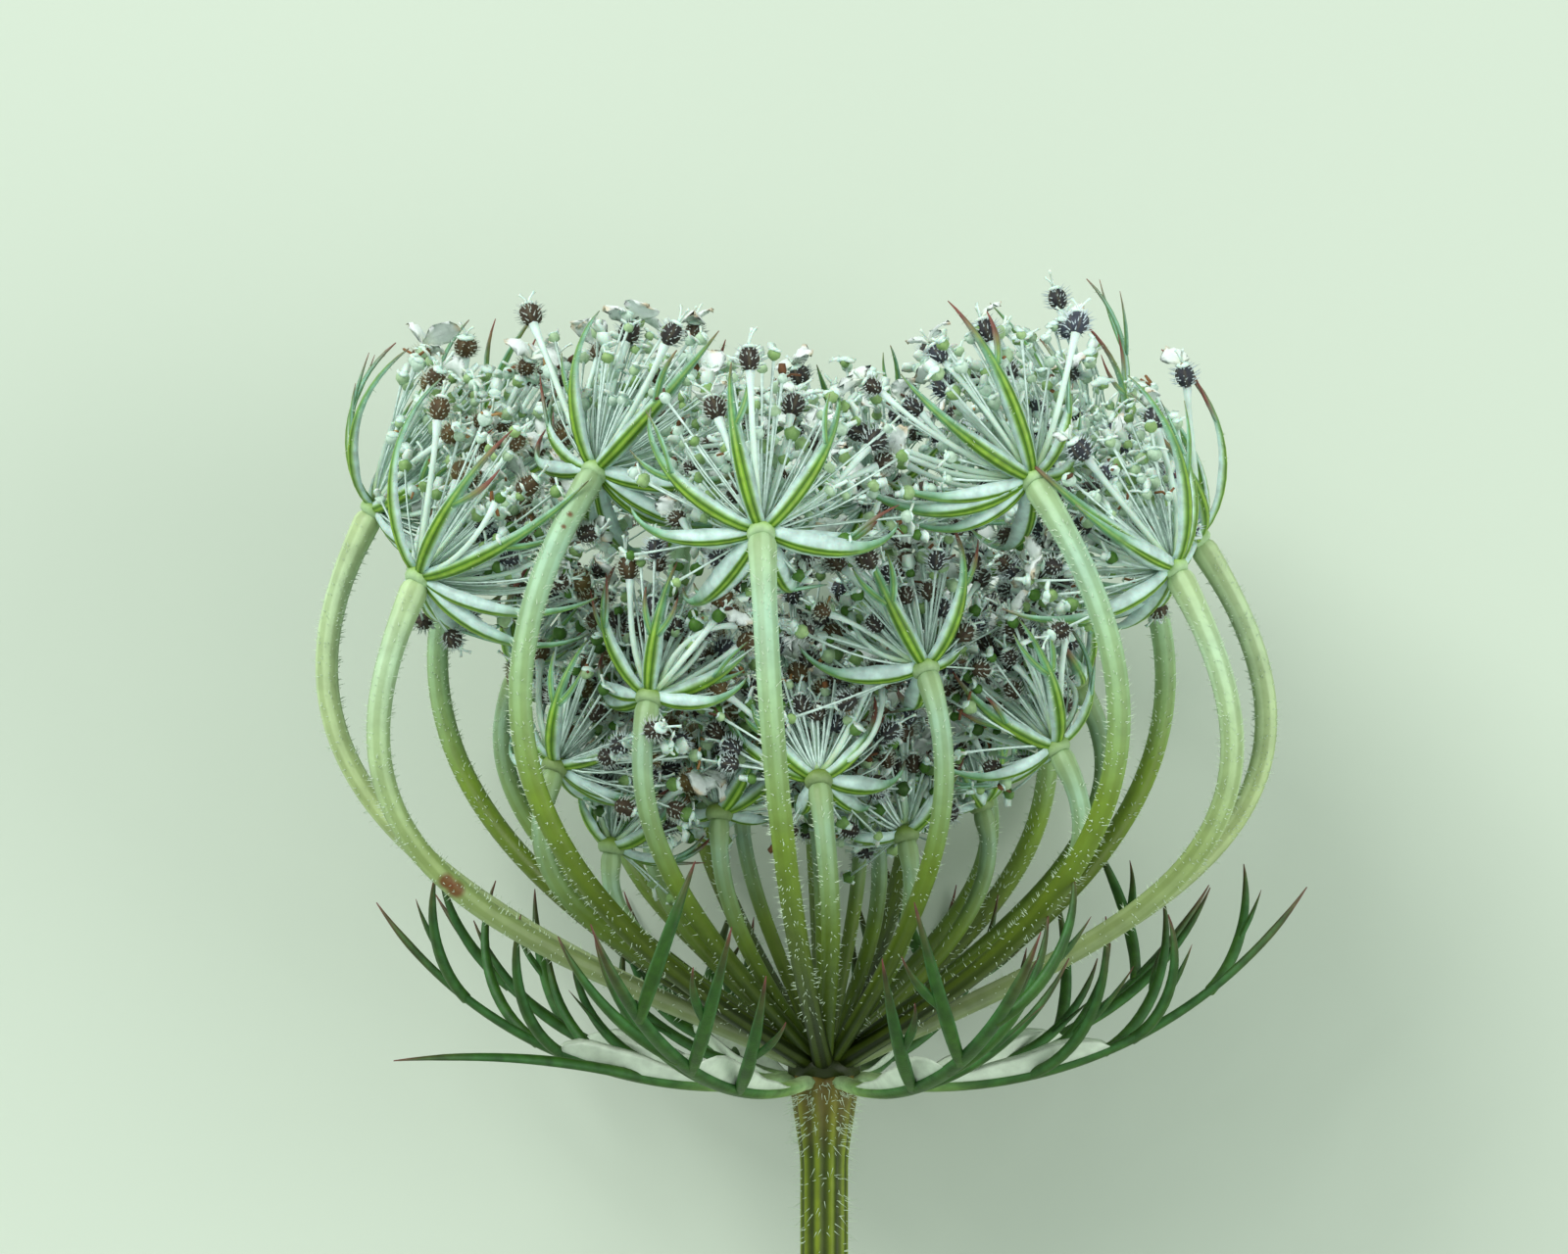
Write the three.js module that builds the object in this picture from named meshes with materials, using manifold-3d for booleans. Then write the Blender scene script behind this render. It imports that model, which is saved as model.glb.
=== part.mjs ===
// A wild carrot flower at the seed-setting stage: the umbel has closed into a nest of
// curved rays, each ending in an umbellet of stalked fruits among narrow bracteoles, with
// cut-leaved bracts below. It is cut with a short stem and lies on its side.
//
// Millimetres. The plant is drawn upright: +Z up the stem, -Y towards the viewer and the
// origin at the base of the umbel. One group then lays it down on the plane Z = 0.
import * as THREE from "three";
import { mergeVertices } from "three/addons/utils/BufferGeometryUtils.js";
import Module from "manifold-3d";

const wasm = await Module();
wasm.setup();

const V = (x, y, z) => new THREE.Vector3(x, y, z);
const UP = V(0, 0, 1);
const rad = THREE.MathUtils.degToRad;

// How it lies
const TILT = 14.8; // degrees between the stem and the surface
const BASE_HEIGHT = 16.83; // of the umbel's base above the surface
const GAP = 0.35; // least space between two nodes
const SEAT = 0.3; // between an umbellet or bract and what carries it

// Stem
const STEM_LENGTH = 62;
const STEM_RADIUS = 1.25;
const STEM_RIBS = 10;
const RIB_DEPTH = 0.16;
const NECK_RADIUS = 1.85; // where the stem swells under the rays
const NECK_LENGTH = 4;
const NECK_DROP = 0.9; // from the umbel's base to the top of the stem

// Umbel. A ray is [degrees round the stem from the front, distance out, height] of its tip,
// in mm, and leans with the whole head. It bows: the first of its two middle control points
// is [out, up] from the base. The second is `under` the tip, and `outTo` from the stem in
// the outer ring or `beyond` the tip in the others.
const LEAN = -0.08; // sideways per mm of height
const CUSHION_RADIUS = 1.9; // of the disc that the rays grow from
const CUSHION_TOP = 0.9;
const CUSHION_FOOT = -0.6;
const RAY_ROOT = 0.78; // of its thickness at the tip
const RINGS = [
  {
    rays: [
      [-90, 21.8, 28], [-59, 22, 24.3], [-38, 15.6, 29.8], [-3, 20, 26.5],
      [43, 19.2, 29.3], [60, 23, 24.8], [90, 22.2, 26.5], [121, 20.5, 30.5],
      [145, 22, 25], [163, 18, 29], [-163, 18, 29], [-125, 20.5, 29],
    ],
    root: 1.35, first: [17.5, 7.2], outTo: 30, under: -14, radius: 0.68, steps: 7,
    facing: 50, bracteoles: 6, bracteole: 9.5, stalks: 7, stalk: 8.2, bends: 2,
  },
  {
    rays: [
      [-53, 16, 14.8], [-30, 15, 18.3], [4, 12.5, 14.2], [27, 15, 19.8], [57, 16, 15.8],
      [98, 15.5, 19], [140, 15, 15.5], [178, 14, 18], [-140, 15.5, 16], [-98, 15, 19.5],
    ],
    root: 0.95, first: [9, 6], beyond: 3.5, under: -7, radius: 0.58, steps: 5,
    facing: 40, bracteoles: 5, bracteole: 7, stalks: 6, stalk: 6.6, bends: 1,
  },
  {
    rays: [
      [-62, 11.5, 10.5], [-30, 8.8, 12.3], [36, 8.8, 11.2],
      [95, 9.5, 12.5], [155, 9, 11.5], [-120, 9.5, 12],
    ],
    root: 0.6, first: [4.5, 3.6], beyond: 0.8, under: -4.5, radius: 0.5, steps: 4,
    facing: 24, bracteoles: 4, bracteole: 5.5, stalks: 5, stalk: 5.6, bends: 1,
  },
  {
    rays: [[10, 3.6, 12.5], [130, 3.8, 13.2], [-110, 3.5, 12.8]],
    root: 0.3, first: [1.2, 4], beyond: 0.2, under: -4, radius: 0.46, steps: 3,
    facing: 8, bracteoles: 3, bracteole: 5, stalks: 4, stalk: 5.4, bends: 1,
  },
];

// Umbellets
const HUB_RADIUS = 0.95;
const FRUIT_RADIUS = 0.72;
const FRUIT_LENGTH = 1.8;
const STALK_RADIUS = 0.21;
const DOME = 68; // degrees from the umbellet's middle to its outermost stalk
const GOLDEN_ANGLE = 137.5; // from one stalk to the next
const STALK_END = 0.55; // of its opening that a stalk keeps at the fruit
const SHORTEST_STALK = 0.62; // of the outermost one's length
const BRACTEOLE_OPENING = [76, 96]; // degrees off the umbellet's axis at the root
const BRACTEOLE_CLOSING = [5, 35]; // and at the tip
const BRACTEOLE_WIDTHS = [0.3, 0.7, 0.45, 0]; // half width from root to tip
const BRACTEOLE_DEPTH = 0.42; // two thirds of its thickness

// Bracts below the umbel: [degrees round the stem, length]. On one of them the first lobe
// is long and grows out level.
const BRACTS = [
  [-82, 24.5], [-30, 24], [28, 23], [84, 26.5], [118, 25], [160, 23], [-150, 23], [-114, 24],
];
const LEVEL_LOBE = { bract: 0, lobe: 0, spread: 22, rise: -24, length: 13.5 };
const BRACT_ROOT = NECK_RADIUS + SEAT; // distance out from the stem's axis
const BRACT_TURN = [98, 34]; // degrees off the stem, at the root and at the tip
const BRACT_RADIUS = 0.62;
const BRACT_WIDTHS = [0.75, 1.15, 1.05, 0.85, 0.75, 0.6, 0]; // shares of it from root to tip
const LOBES = [[0.28, 1], [0.32, -1], [0.48, 1], [0.54, -1], [0.72, 1]]; // place along, and side
const LOBE_LENGTH = 10;
const LOBE_RADIUS = 0.42;
const LOBE_WIDTHS = [0.6, 1.1, 0.9, 0];
const LOBE_SPREAD = [28, 46]; // degrees off the midrib
const LOBE_RISE = [30, 75]; // degrees that it curves up

const STEM_GREEN = 0x8f9436;
const RAY_GREEN = 0xb9c98a;
const UMBELLET_PALE = 0xcfd8c0;
const BRACT_GREEN = 0x35601f;

// A fixed draw from 0 to 1 for each set of three whole numbers.
function chance(a, b, c) {
  const s = Math.sin(a * 127.1 + b * 311.7 + c * 74.7) * 43758.5453;
  return s - Math.floor(s);
}
const between = ([low, high], a, b, c) => low + (high - low) * chance(a, b, c);

// Outward and sideways unit vectors at an angle round the stem; 0 faces the viewer.
function bearing(degrees) {
  const a = rad(degrees);
  return { out: V(Math.sin(a), -Math.cos(a), 0), side: V(Math.cos(a), Math.sin(a), 0) };
}

// The direction at an angle off `along`, towards `out`.
function leaning(along, out, degrees) {
  const angle = rad(degrees);
  return along.clone().multiplyScalar(Math.cos(angle)).addScaledVector(out, Math.sin(angle));
}

// Height of a point above the surface that the flower lies on.
const floorUp = V(0, -Math.cos(rad(TILT)), Math.sin(rad(TILT)));
const heightOf = (p) => p.dot(floorUp) + BASE_HEIGHT;

// What would go under the surface is pressed up to lie along it.
function pressed(points, radius) {
  return points.map((p) => {
    const under = radius - heightOf(p);
    return under > 0 ? p.clone().addScaledVector(floorUp, under) : p;
  });
}

// Points of an arc whose heading turns from one angle off `along` to another.
function arc(start, along, out, from, to, length, steps) {
  const points = [start.clone()];
  for (let i = 0; i < steps; i++) {
    const step = leaning(along, out, from + ((to - from) * (i + 0.5)) / steps);
    points.push(points[i].clone().addScaledVector(step, length / steps));
  }
  return points;
}

// A cylinder bent along points. Widths are along `side`, depths across it, one for each
// point; the last width is 0 where the piece ends in a tip.
function swept(points, side, widths, depths, sides) {
  const last = points.length - 1;
  const tipped = widths[last] === 0;
  const geometry = new THREE.CylinderGeometry(tipped ? 0 : 1, 1, 1, sides, last);
  const position = geometry.getAttribute("position");
  for (let i = 0; i < position.count; i++) {
    const ring = Math.round((position.getY(i) + 0.5) * last);
    const taper = tipped && ring < last ? 1 - ring / last : 1;
    const heading = points[Math.min(ring + 1, last)].clone().sub(points[Math.max(ring - 1, 0)]);
    const normal = side.clone().cross(heading).normalize();
    const across = heading.clone().cross(normal).normalize();
    const place = points[ring].clone();
    place.addScaledVector(across, (position.getX(i) / taper) * widths[ring]);
    place.addScaledVector(normal, (position.getZ(i) / taper) * depths[ring]);
    position.setXYZ(i, place.x, place.y, place.z);
  }
  return geometry;
}

function solidOf(geometry) {
  geometry.deleteAttribute("normal");
  geometry.deleteAttribute("uv");
  const merged = mergeVertices(geometry, 1e-4);
  const mesh = new wasm.Mesh({
    numProp: 3,
    vertProperties: merged.getAttribute("position").array,
    triVerts: new Uint32Array(merged.index.array),
  });
  return new wasm.Manifold(mesh);
}

const joined = (geometries) => geometries.map(solidOf).reduce((all, one) => all.add(one));

// A named mesh of a solid, in its own frame at `place`.
function meshOf(name, solid, colour, roughness, place = V(0, 0, 0)) {
  const { vertProperties, triVerts } = solid.getMesh();
  const geometry = new THREE.BufferGeometry();
  geometry.setAttribute("position", new THREE.BufferAttribute(new Float32Array(vertProperties), 3));
  geometry.setIndex(new THREE.BufferAttribute(new Uint32Array(triVerts), 1));
  geometry.translate(-place.x, -place.y, -place.z);
  geometry.computeVertexNormals();
  const material = new THREE.MeshStandardMaterial({ color: colour, roughness, metalness: 0 });
  const mesh = new THREE.Mesh(geometry, material);
  mesh.name = name;
  mesh.position.copy(place);
  return mesh;
}

// Room already taken, as capsules that each belong to one node.
const taken = [];

// Distance between segments p-q and r-s.
function segmentGap(p, q, r, s) {
  const d1 = q.clone().sub(p);
  const d2 = s.clone().sub(r);
  const w = p.clone().sub(r);
  const a = d1.dot(d1);
  const e = d2.dot(d2);
  const b = d1.dot(d2);
  const c = d1.dot(w);
  const f = d2.dot(w);
  const clamp = (x) => Math.min(1, Math.max(0, x));
  const denominator = a * e - b * b;
  let t = denominator > 1e-12 ? clamp((b * f - c * e) / denominator) : 0;
  const u = clamp((b * t + f) / e);
  t = clamp((b * u - c) / a);
  return p.clone().addScaledVector(d1, t).distanceTo(r.clone().addScaledVector(d2, u));
}

function isClear(owner, points, radii) {
  for (let i = 1; i < points.length; i++) {
    const mine = Math.max(radii[i - 1], radii[i]);
    for (const other of taken) {
      if (other.owner === owner) continue;
      const need = mine + other.radius + GAP;
      if (segmentGap(points[i - 1], points[i], other.from, other.to) < need) return false;
    }
  }
  return true;
}

function take(owner, points, radii) {
  for (let i = 1; i < points.length; i++) {
    const radius = Math.max(radii[i - 1], radii[i]);
    taken.push({ owner, from: points[i - 1], to: points[i], radius });
  }
}

// Tries a piece again, turned and shortened a little more each time, until it is clear of
// the other nodes past its root. Gives the piece that fitted, or null.
const ROOT_SHARE = 0.4; // of its first length, which is near what carries it
const TURN_STEP = 7; // degrees, by turns to either side
const SHORTER_STEP = 0.03;
function fitted(owner, tries, draw) {
  for (let attempt = 0; attempt < tries; attempt++) {
    const turn = TURN_STEP * Math.ceil(attempt / 2) * (attempt % 2 ? 1 : -1);
    const piece = draw(turn, 1 - SHORTER_STEP * attempt);
    const [root, next, ...rest] = piece.points;
    const tested = [root.clone().lerp(next, ROOT_SHARE), next, ...rest];
    if (!isClear(owner, tested, piece.radii)) continue;
    take(owner, piece.points, piece.radii);
    return piece;
  }
  return null;
}

// What it lies on, as a block under the surface, to trim small flats where it touches.
const plant = new THREE.Group();
plant.rotation.x = rad(TILT - 90);
plant.position.z = BASE_HEIGHT;
plant.updateMatrix();
const BLOCK = 200;
const surface = solidOf(
  new THREE.BoxGeometry(BLOCK, BLOCK, BLOCK)
    .translate(0, 0, -BLOCK / 2)
    .applyMatrix4(plant.matrix.clone().invert()),
);

// Stem with its ribs, straight, swelling at the top.
function stem() {
  const heights = [-STEM_LENGTH, -STEM_LENGTH * 0.66, -STEM_LENGTH * 0.33];
  heights.push(-NECK_LENGTH - NECK_DROP, -NECK_DROP);
  const radii = [STEM_RADIUS, STEM_RADIUS, STEM_RADIUS, STEM_RADIUS, NECK_RADIUS];
  const last = heights.length - 1;
  const geometry = new THREE.CylinderGeometry(1, 1, 1, STEM_RIBS * 2, last);
  geometry.rotateX(Math.PI / 2);
  const position = geometry.getAttribute("position");
  for (let i = 0; i < position.count; i++) {
    const ring = Math.round((position.getZ(i) + 0.5) * last);
    const turn = Math.atan2(position.getY(i), position.getX(i));
    const corner = Math.round((turn * STEM_RIBS) / Math.PI);
    const radius = radii[ring] - (corner % 2 ? RIB_DEPTH : 0);
    position.setXYZ(i, position.getX(i) * radius, position.getY(i) * radius, heights[ring]);
  }
  return solidOf(geometry).subtract(surface);
}

// Path of a ray, from the cushion to its tip.
function rayPath(ring, [azimuth, reach, height]) {
  const { out } = bearing(azimuth);
  const at = (r, z) => V(LEAN * z, 0, z).addScaledVector(out, r);
  const elbow = ring.outTo ?? reach + ring.beyond;
  return new THREE.CubicBezierCurve3(
    at(ring.root, 0.2),
    at(...ring.first),
    at(elbow, height + ring.under),
    at(reach, height),
  );
}

// Every umbellet: its hub, the way it faces and its place in the rings.
const umbellets = [];
for (const ring of RINGS) {
  for (const ray of ring.rays) {
    const { out, side } = bearing(ray[0]);
    const axis = leaning(UP, out, -ring.facing);
    const curve = rayPath(ring, ray);
    const hub = curve.getPoint(1).addScaledVector(curve.getTangent(1), SEAT + HUB_RADIUS * 0.9);
    const number = umbellets.length + 1;
    const name = `umbellet_${String(number).padStart(2, "0")}`;
    umbellets.push({ number, name, ring, curve, side, axis, hub, pieces: [] });
  }
}

// The cushion on top of the stem with every ray, cut flat where they touch the surface.
function rays() {
  const profile = [V(0, CUSHION_FOOT, 0), V(CUSHION_RADIUS, CUSHION_FOOT, 0), V(CUSHION_RADIUS, 0.1, 0)];
  profile.push(V(CUSHION_RADIUS * 0.6, CUSHION_TOP, 0), V(0, CUSHION_TOP, 0));
  const cushion = new THREE.LatheGeometry(profile, 12).rotateX(Math.PI / 2);
  const tubes = umbellets.map(({ ring, curve, side }) => {
    const points = curve.getPoints(ring.steps);
    const radii = points.map((_, i) => ring.radius * (RAY_ROOT + ((1 - RAY_ROOT) * i) / ring.steps));
    take("rays", points, radii);
    return swept(points, side, radii, radii, 5);
  });
  return joined([cushion, ...tubes]).subtract(surface);
}

// One bracteole of an umbellet: it spreads from the hub and curves up round the fruits.
function addBracteole(umbellet, index) {
  const { ring, axis, hub, side, name, number } = umbellet;
  if (index >= ring.bracteoles) return;
  const third = axis.clone().cross(side);
  const radii = BRACTEOLE_WIDTHS.map((width) => Math.max(width * 0.9, 0.3));
  const piece = fitted(name, 11, (turn, share) => {
    const place = (360 * (index + 0.5 * chance(number, index, 1))) / ring.bracteoles;
    const out = leaning(side, third, place + turn);
    const length = ring.bracteole * share * between([0.85, 1.1], number, index, 2);
    const opening = between(BRACTEOLE_OPENING, number, index, 3);
    const closing = between(BRACTEOLE_CLOSING, number, index, 4);
    const start = hub.clone().addScaledVector(out, HUB_RADIUS * 0.4);
    const points = pressed(arc(start, axis, out, opening, closing, length, 3), BRACTEOLE_DEPTH);
    return { points, radii, side: axis.clone().cross(out) };
  });
  if (!piece) return;
  const depths = BRACTEOLE_WIDTHS.map((width) => (width ? BRACTEOLE_DEPTH : 0));
  umbellet.pieces.push(swept(piece.points, piece.side, BRACTEOLE_WIDTHS, depths, 3));
}

// One stalk with its fruit. The stalks are spread evenly over a dome, the outer ones longer.
function addStalk(umbellet, index) {
  const { ring, axis, hub, side, name, number } = umbellet;
  if (index >= ring.stalks) return;
  const third = axis.clone().cross(side);
  const outwards = Math.sqrt((index + 0.5) / ring.stalks);
  const radii = [...Array(ring.bends + 1).fill(STALK_RADIUS), FRUIT_RADIUS, 0];
  const piece = fitted(name, 11, (turn, share) => {
    const out = leaning(side, third, GOLDEN_ANGLE * index + 40 * number + turn);
    const opening = DOME * outwards * (0.7 + 0.3 * share);
    const domeShare = SHORTEST_STALK + (1 - SHORTEST_STALK) * outwards;
    const length = ring.stalk * share * domeShare * between([0.9, 1.1], number, index, 5);
    const start = hub.clone().addScaledVector(leaning(axis, out, opening), HUB_RADIUS * 0.45);
    const points = arc(start, axis, out, opening, opening * STALK_END, length, ring.bends);
    const top = points[ring.bends];
    const heading = top.clone().sub(points[ring.bends - 1]).normalize();
    for (const along of [0.5, 1]) {
      points.push(top.clone().addScaledVector(heading, FRUIT_LENGTH * along));
    }
    return { points: pressed(points, FRUIT_RADIUS), radii, side: axis.clone().cross(out) };
  });
  if (piece) umbellet.pieces.push(swept(piece.points, piece.side, radii, radii, 4));
}

function hubOf({ hub }) {
  return new THREE.OctahedronGeometry(HUB_RADIUS, 0).translate(hub.x, hub.y, hub.z);
}

// A bract: a midrib that leaves the stem level and curves up, with narrow lobes either side.
function bract([azimuth, length], index) {
  const name = `bract_${index + 1}`;
  const { out, side } = bearing(azimuth);
  const start = out.clone().multiplyScalar(BRACT_ROOT).setZ(-NECK_DROP);
  const midrib = pressed(arc(start, UP, out, ...BRACT_TURN, length, 6), BRACT_RADIUS);
  const widths = BRACT_WIDTHS.map((share) => share * BRACT_RADIUS);
  const depths = widths.map((width) => (width ? LOBE_RADIUS : 0));
  take(name, midrib, widths);
  const pieces = [swept(midrib, side, widths, depths, 3)];
  const middle = new THREE.CatmullRomCurve3(midrib);
  LOBES.forEach(([place, hand], key) => {
    const root = middle.getPoint(place);
    const heading = middle.getTangent(place);
    const upper = heading.clone().cross(side).normalize();
    if (upper.z < 0) upper.negate();
    const radii = [LOBE_RADIUS, LOBE_RADIUS, LOBE_RADIUS, 0.1];
    const level = index === LEVEL_LOBE.bract && key === LEVEL_LOBE.lobe;
    const usual = LOBE_LENGTH * (1.1 - 0.45 * place) * between([0.8, 1.15], index, key, 7);
    const reach = level ? LEVEL_LOBE.length : usual;
    const rise = level ? LEVEL_LOBE.rise : between(LOBE_RISE, index, key, 8);
    const piece = fitted(name, 9, (turn, share) => {
      const spread = (level ? LEVEL_LOBE.spread : between(LOBE_SPREAD, index, key, 6)) + turn * 0.5;
      const lead = leaning(heading, side.clone().multiplyScalar(hand), spread);
      const line = arc(root, upper, lead, 90, 90 - rise, reach * share, 3);
      const points = pressed(line, LOBE_RADIUS);
      return { points, radii, lead };
    });
    if (!piece) return;
    const blade = LOBE_WIDTHS.map((share) => share * LOBE_RADIUS);
    const across = piece.lead.clone().cross(upper).normalize();
    pieces.push(swept(piece.points, across, blade, blade, 3));
  });
  return meshOf(name, joined(pieces), BRACT_GREEN, 0.55, start);
}

plant.add(meshOf("peduncle", stem(), STEM_GREEN, 0.6));
plant.add(meshOf("rays", rays(), RAY_GREEN, 0.6));
for (const { name, hub, axis } of umbellets) {
  take(name, [hub, hub.clone().addScaledVector(axis, 0.1)], [HUB_RADIUS, HUB_RADIUS]);
}
BRACTS.forEach((entry, index) => plant.add(bract(entry, index)));

// The umbellets grow together, one piece each by turns, so that all get room alike.
const MOST_PIECES = 9;
for (let index = 0; index < MOST_PIECES; index++) umbellets.forEach((u) => addBracteole(u, index));
for (let index = 0; index < MOST_PIECES; index++) umbellets.forEach((u) => addStalk(u, index));
for (const umbellet of umbellets) {
  const solid = joined([hubOf(umbellet), ...umbellet.pieces]);
  plant.add(meshOf(umbellet.name, solid, UMBELLET_PALE, 0.65, umbellet.hub));
}

// The origin is on the surface, under the middle of the flower's box.
const flower = new THREE.Group();
flower.add(plant);
const middle = new THREE.Box3().setFromObject(flower, true).getCenter(V(0, 0, 0));
plant.position.x -= middle.x;
plant.position.y -= middle.y;
export default flower;
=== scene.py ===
# %% [markdown]
# # A carrot flower that has set seed
# When a wild carrot has flowered, its umbel closes. The outer rays curve in over the others and
# make a nest, with cut-leaved bracts below it. Each ray ends in an umbellet: a small hub with
# narrow bracteoles and thin stalks, each of which carries a fruit.
#
# The CAD model holds every ray, bract and umbellet as a faceted solid. This lesson draws the same
# plant with smooth forms, at the same places, and adds what the solids leave out: ribs, hairs,
# more stalks, bristles, florets, petals and colour.

import bpy
import numpy as np
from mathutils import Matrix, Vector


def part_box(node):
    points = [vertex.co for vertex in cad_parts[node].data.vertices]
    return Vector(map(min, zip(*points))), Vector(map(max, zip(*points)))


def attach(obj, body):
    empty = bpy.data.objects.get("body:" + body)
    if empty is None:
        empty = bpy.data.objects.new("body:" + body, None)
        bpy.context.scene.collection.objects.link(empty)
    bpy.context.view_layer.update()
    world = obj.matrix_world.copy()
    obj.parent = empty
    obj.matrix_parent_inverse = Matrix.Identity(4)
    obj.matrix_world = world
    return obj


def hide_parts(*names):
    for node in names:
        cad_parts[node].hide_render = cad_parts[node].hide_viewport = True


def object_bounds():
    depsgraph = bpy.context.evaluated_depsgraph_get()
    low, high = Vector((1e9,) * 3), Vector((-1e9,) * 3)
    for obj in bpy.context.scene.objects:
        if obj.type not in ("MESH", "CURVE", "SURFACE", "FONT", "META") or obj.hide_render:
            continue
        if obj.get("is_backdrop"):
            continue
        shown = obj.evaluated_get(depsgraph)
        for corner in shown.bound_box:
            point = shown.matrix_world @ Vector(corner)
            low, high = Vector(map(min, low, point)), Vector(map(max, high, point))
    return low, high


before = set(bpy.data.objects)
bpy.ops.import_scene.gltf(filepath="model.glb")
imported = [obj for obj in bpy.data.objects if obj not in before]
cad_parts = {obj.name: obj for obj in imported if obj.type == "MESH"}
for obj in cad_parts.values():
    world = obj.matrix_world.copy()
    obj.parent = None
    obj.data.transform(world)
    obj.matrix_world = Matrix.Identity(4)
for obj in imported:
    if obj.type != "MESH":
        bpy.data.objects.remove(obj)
cad_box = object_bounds()
print("CAD box in mm:", [[round(1000 * x, 1) for x in corner] for corner in cad_box])

# %% [markdown]
# ## Upright to draw, lying down to show
# A plant is easiest to draw upright, in millimetres: Z runs up the stem, -Y faces the viewer, and
# the origin is where the rays start. One function then lays the points down, as the CAD model
# lies: the stem's cut end and two rays touch the surface. The CAD stem's box tells how far the
# plant was moved to bring its middle over the origin.

# %% Lay down the plant
TILT = 14.8  # degrees between the stem and the surface
BASE_HEIGHT = 16.83  # mm, of the umbel's base above the surface
STEM_LENGTH = 62
STEM_RADIUS = 1.25
SIN, COS = np.sin(np.radians(TILT)), np.cos(np.radians(TILT))
EDGE = STEM_RADIUS * np.cos(np.radians(18))  # the CAD stem has 20 sides

stem_low, stem_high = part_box("peduncle")
shift_x = 500 * (stem_low.x + stem_high.x)
shift_y = 1000 * stem_low.y + STEM_LENGTH * COS + EDGE * SIN


def lay_down(points):
    """Plant points in mm as metres in the CAD frame. Nothing goes below the surface."""
    x, y, z = np.asarray(points, float).T
    height = np.maximum(BASE_HEIGHT - y * COS + z * SIN, 0)
    return np.column_stack([x + shift_x, y * SIN + z * COS + shift_y, height]) / 1000


print("moved by, mm:", round(shift_x, 2), round(shift_y, 2))

# %% [markdown]
# ## Camera
# The viewer stands level with the nest and sees the stem upright. On the lying plant that is
# straight above the stem, with the stem's direction up in the frame. A 120 mm lens flattens the
# view as a macro lens does. The frame is 82 mm wide, which puts the camera 273 mm away.

# %% Make the camera
from mathutils import Matrix, Vector

AIM = (-2.1, 0, 22.8)  # mm, the plant point in the middle of the frame
LENS, SENSOR = 120, 36  # mm
FRAME_WIDTH = 82  # mm at the stem's distance
DISTANCE = FRAME_WIDTH * LENS / SENSOR

view_data = bpy.data.cameras.new("camera")
view_data.lens, view_data.sensor_width = LENS, SENSOR
view_data.clip_start, view_data.clip_end = 0.01, 10
camera = bpy.data.objects.new("camera", view_data)
bpy.context.scene.collection.objects.link(camera)
bpy.context.scene.camera = camera

target = Vector(lay_down([AIM])[0])
back = Vector((0, -SIN, COS))
up = Vector((0, COS, SIN))
turn = Matrix((up.cross(back), up, back)).transposed().to_4x4()
camera.matrix_world = Matrix.Translation(target + back * DISTANCE / 1000) @ turn
print("camera distance, mm:", DISTANCE)

# %% [markdown]
# ## Colours and nodes
# Colours are written as sRGB hex values, as a colour picker gives them, and Blender needs them
# linear. One small function adds any shader node with its settings, numbers and links.

# %% Colour and node helpers
def linear(code):
    """An sRGB hex colour as linear RGBA."""
    srgb = np.array([int(code[i : i + 2], 16) for i in (1, 3, 5)]) / 255
    light = np.where(srgb <= 0.04045, srgb / 12.92, ((srgb + 0.055) / 1.055) ** 2.4)
    return (*light, 1)


def add(tree, kind, inputs=(), stops=(), output=0, **settings):
    """Adds a node and gives an output. Inputs are numbers, colours or outputs; stops fill a ramp."""
    made = tree.nodes.new("ShaderNode" + kind)
    for name, value in settings.items():
        setattr(made, name, value)
    for name, value in dict(inputs).items():
        if isinstance(value, bpy.types.NodeSocket):
            tree.links.new(value, made.inputs[name])
        else:
            made.inputs[name].default_value = value
    for place, code in stops:
        ramp = made.color_ramp.elements
        stop = ramp[-place] if place in (0, 1) else ramp.new(place)
        stop.color = linear(code)
    return made.outputs[output]


GLOW_REACH = 0.0004  # m that light travels inside thin wet tissue


def skin(name, roughness, ior, glow=0):
    """A new material and its node tree. Glow is the share of light that travels inside it."""
    material = bpy.data.materials.new(name)
    material.use_nodes = True
    shader = material.node_tree.nodes["Principled BSDF"]
    shader.inputs["Roughness"].default_value = roughness
    shader.inputs["IOR"].default_value = ior
    if glow:
        shader.inputs["Subsurface Weight"].default_value = glow
        shader.inputs["Subsurface Scale"].default_value = GLOW_REACH
    return material, material.node_tree


print("white is", linear("#ffffff"))

# %% [markdown]
# ## Surface and light
# The plant lies on a plain pale surface. Large area lights give the soft light of an overcast
# day: one from the upper left, one from the right to open up the shadows, and a pale sky.

# %% Make the floor and the lights
floor_data = bpy.data.meshes.new("floor")
FLOOR = 1.5  # m from the middle to each side
corners = [(-FLOOR, -FLOOR, 0), (FLOOR, -FLOOR, 0), (FLOOR, FLOOR, 0), (-FLOOR, FLOOR, 0)]
floor_data.from_pydata(corners, [], [(0, 1, 2, 3)])
floor = bpy.data.objects.new("floor", floor_data)
bpy.context.scene.collection.objects.link(floor)
floor.location.z = -0.00002
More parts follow.
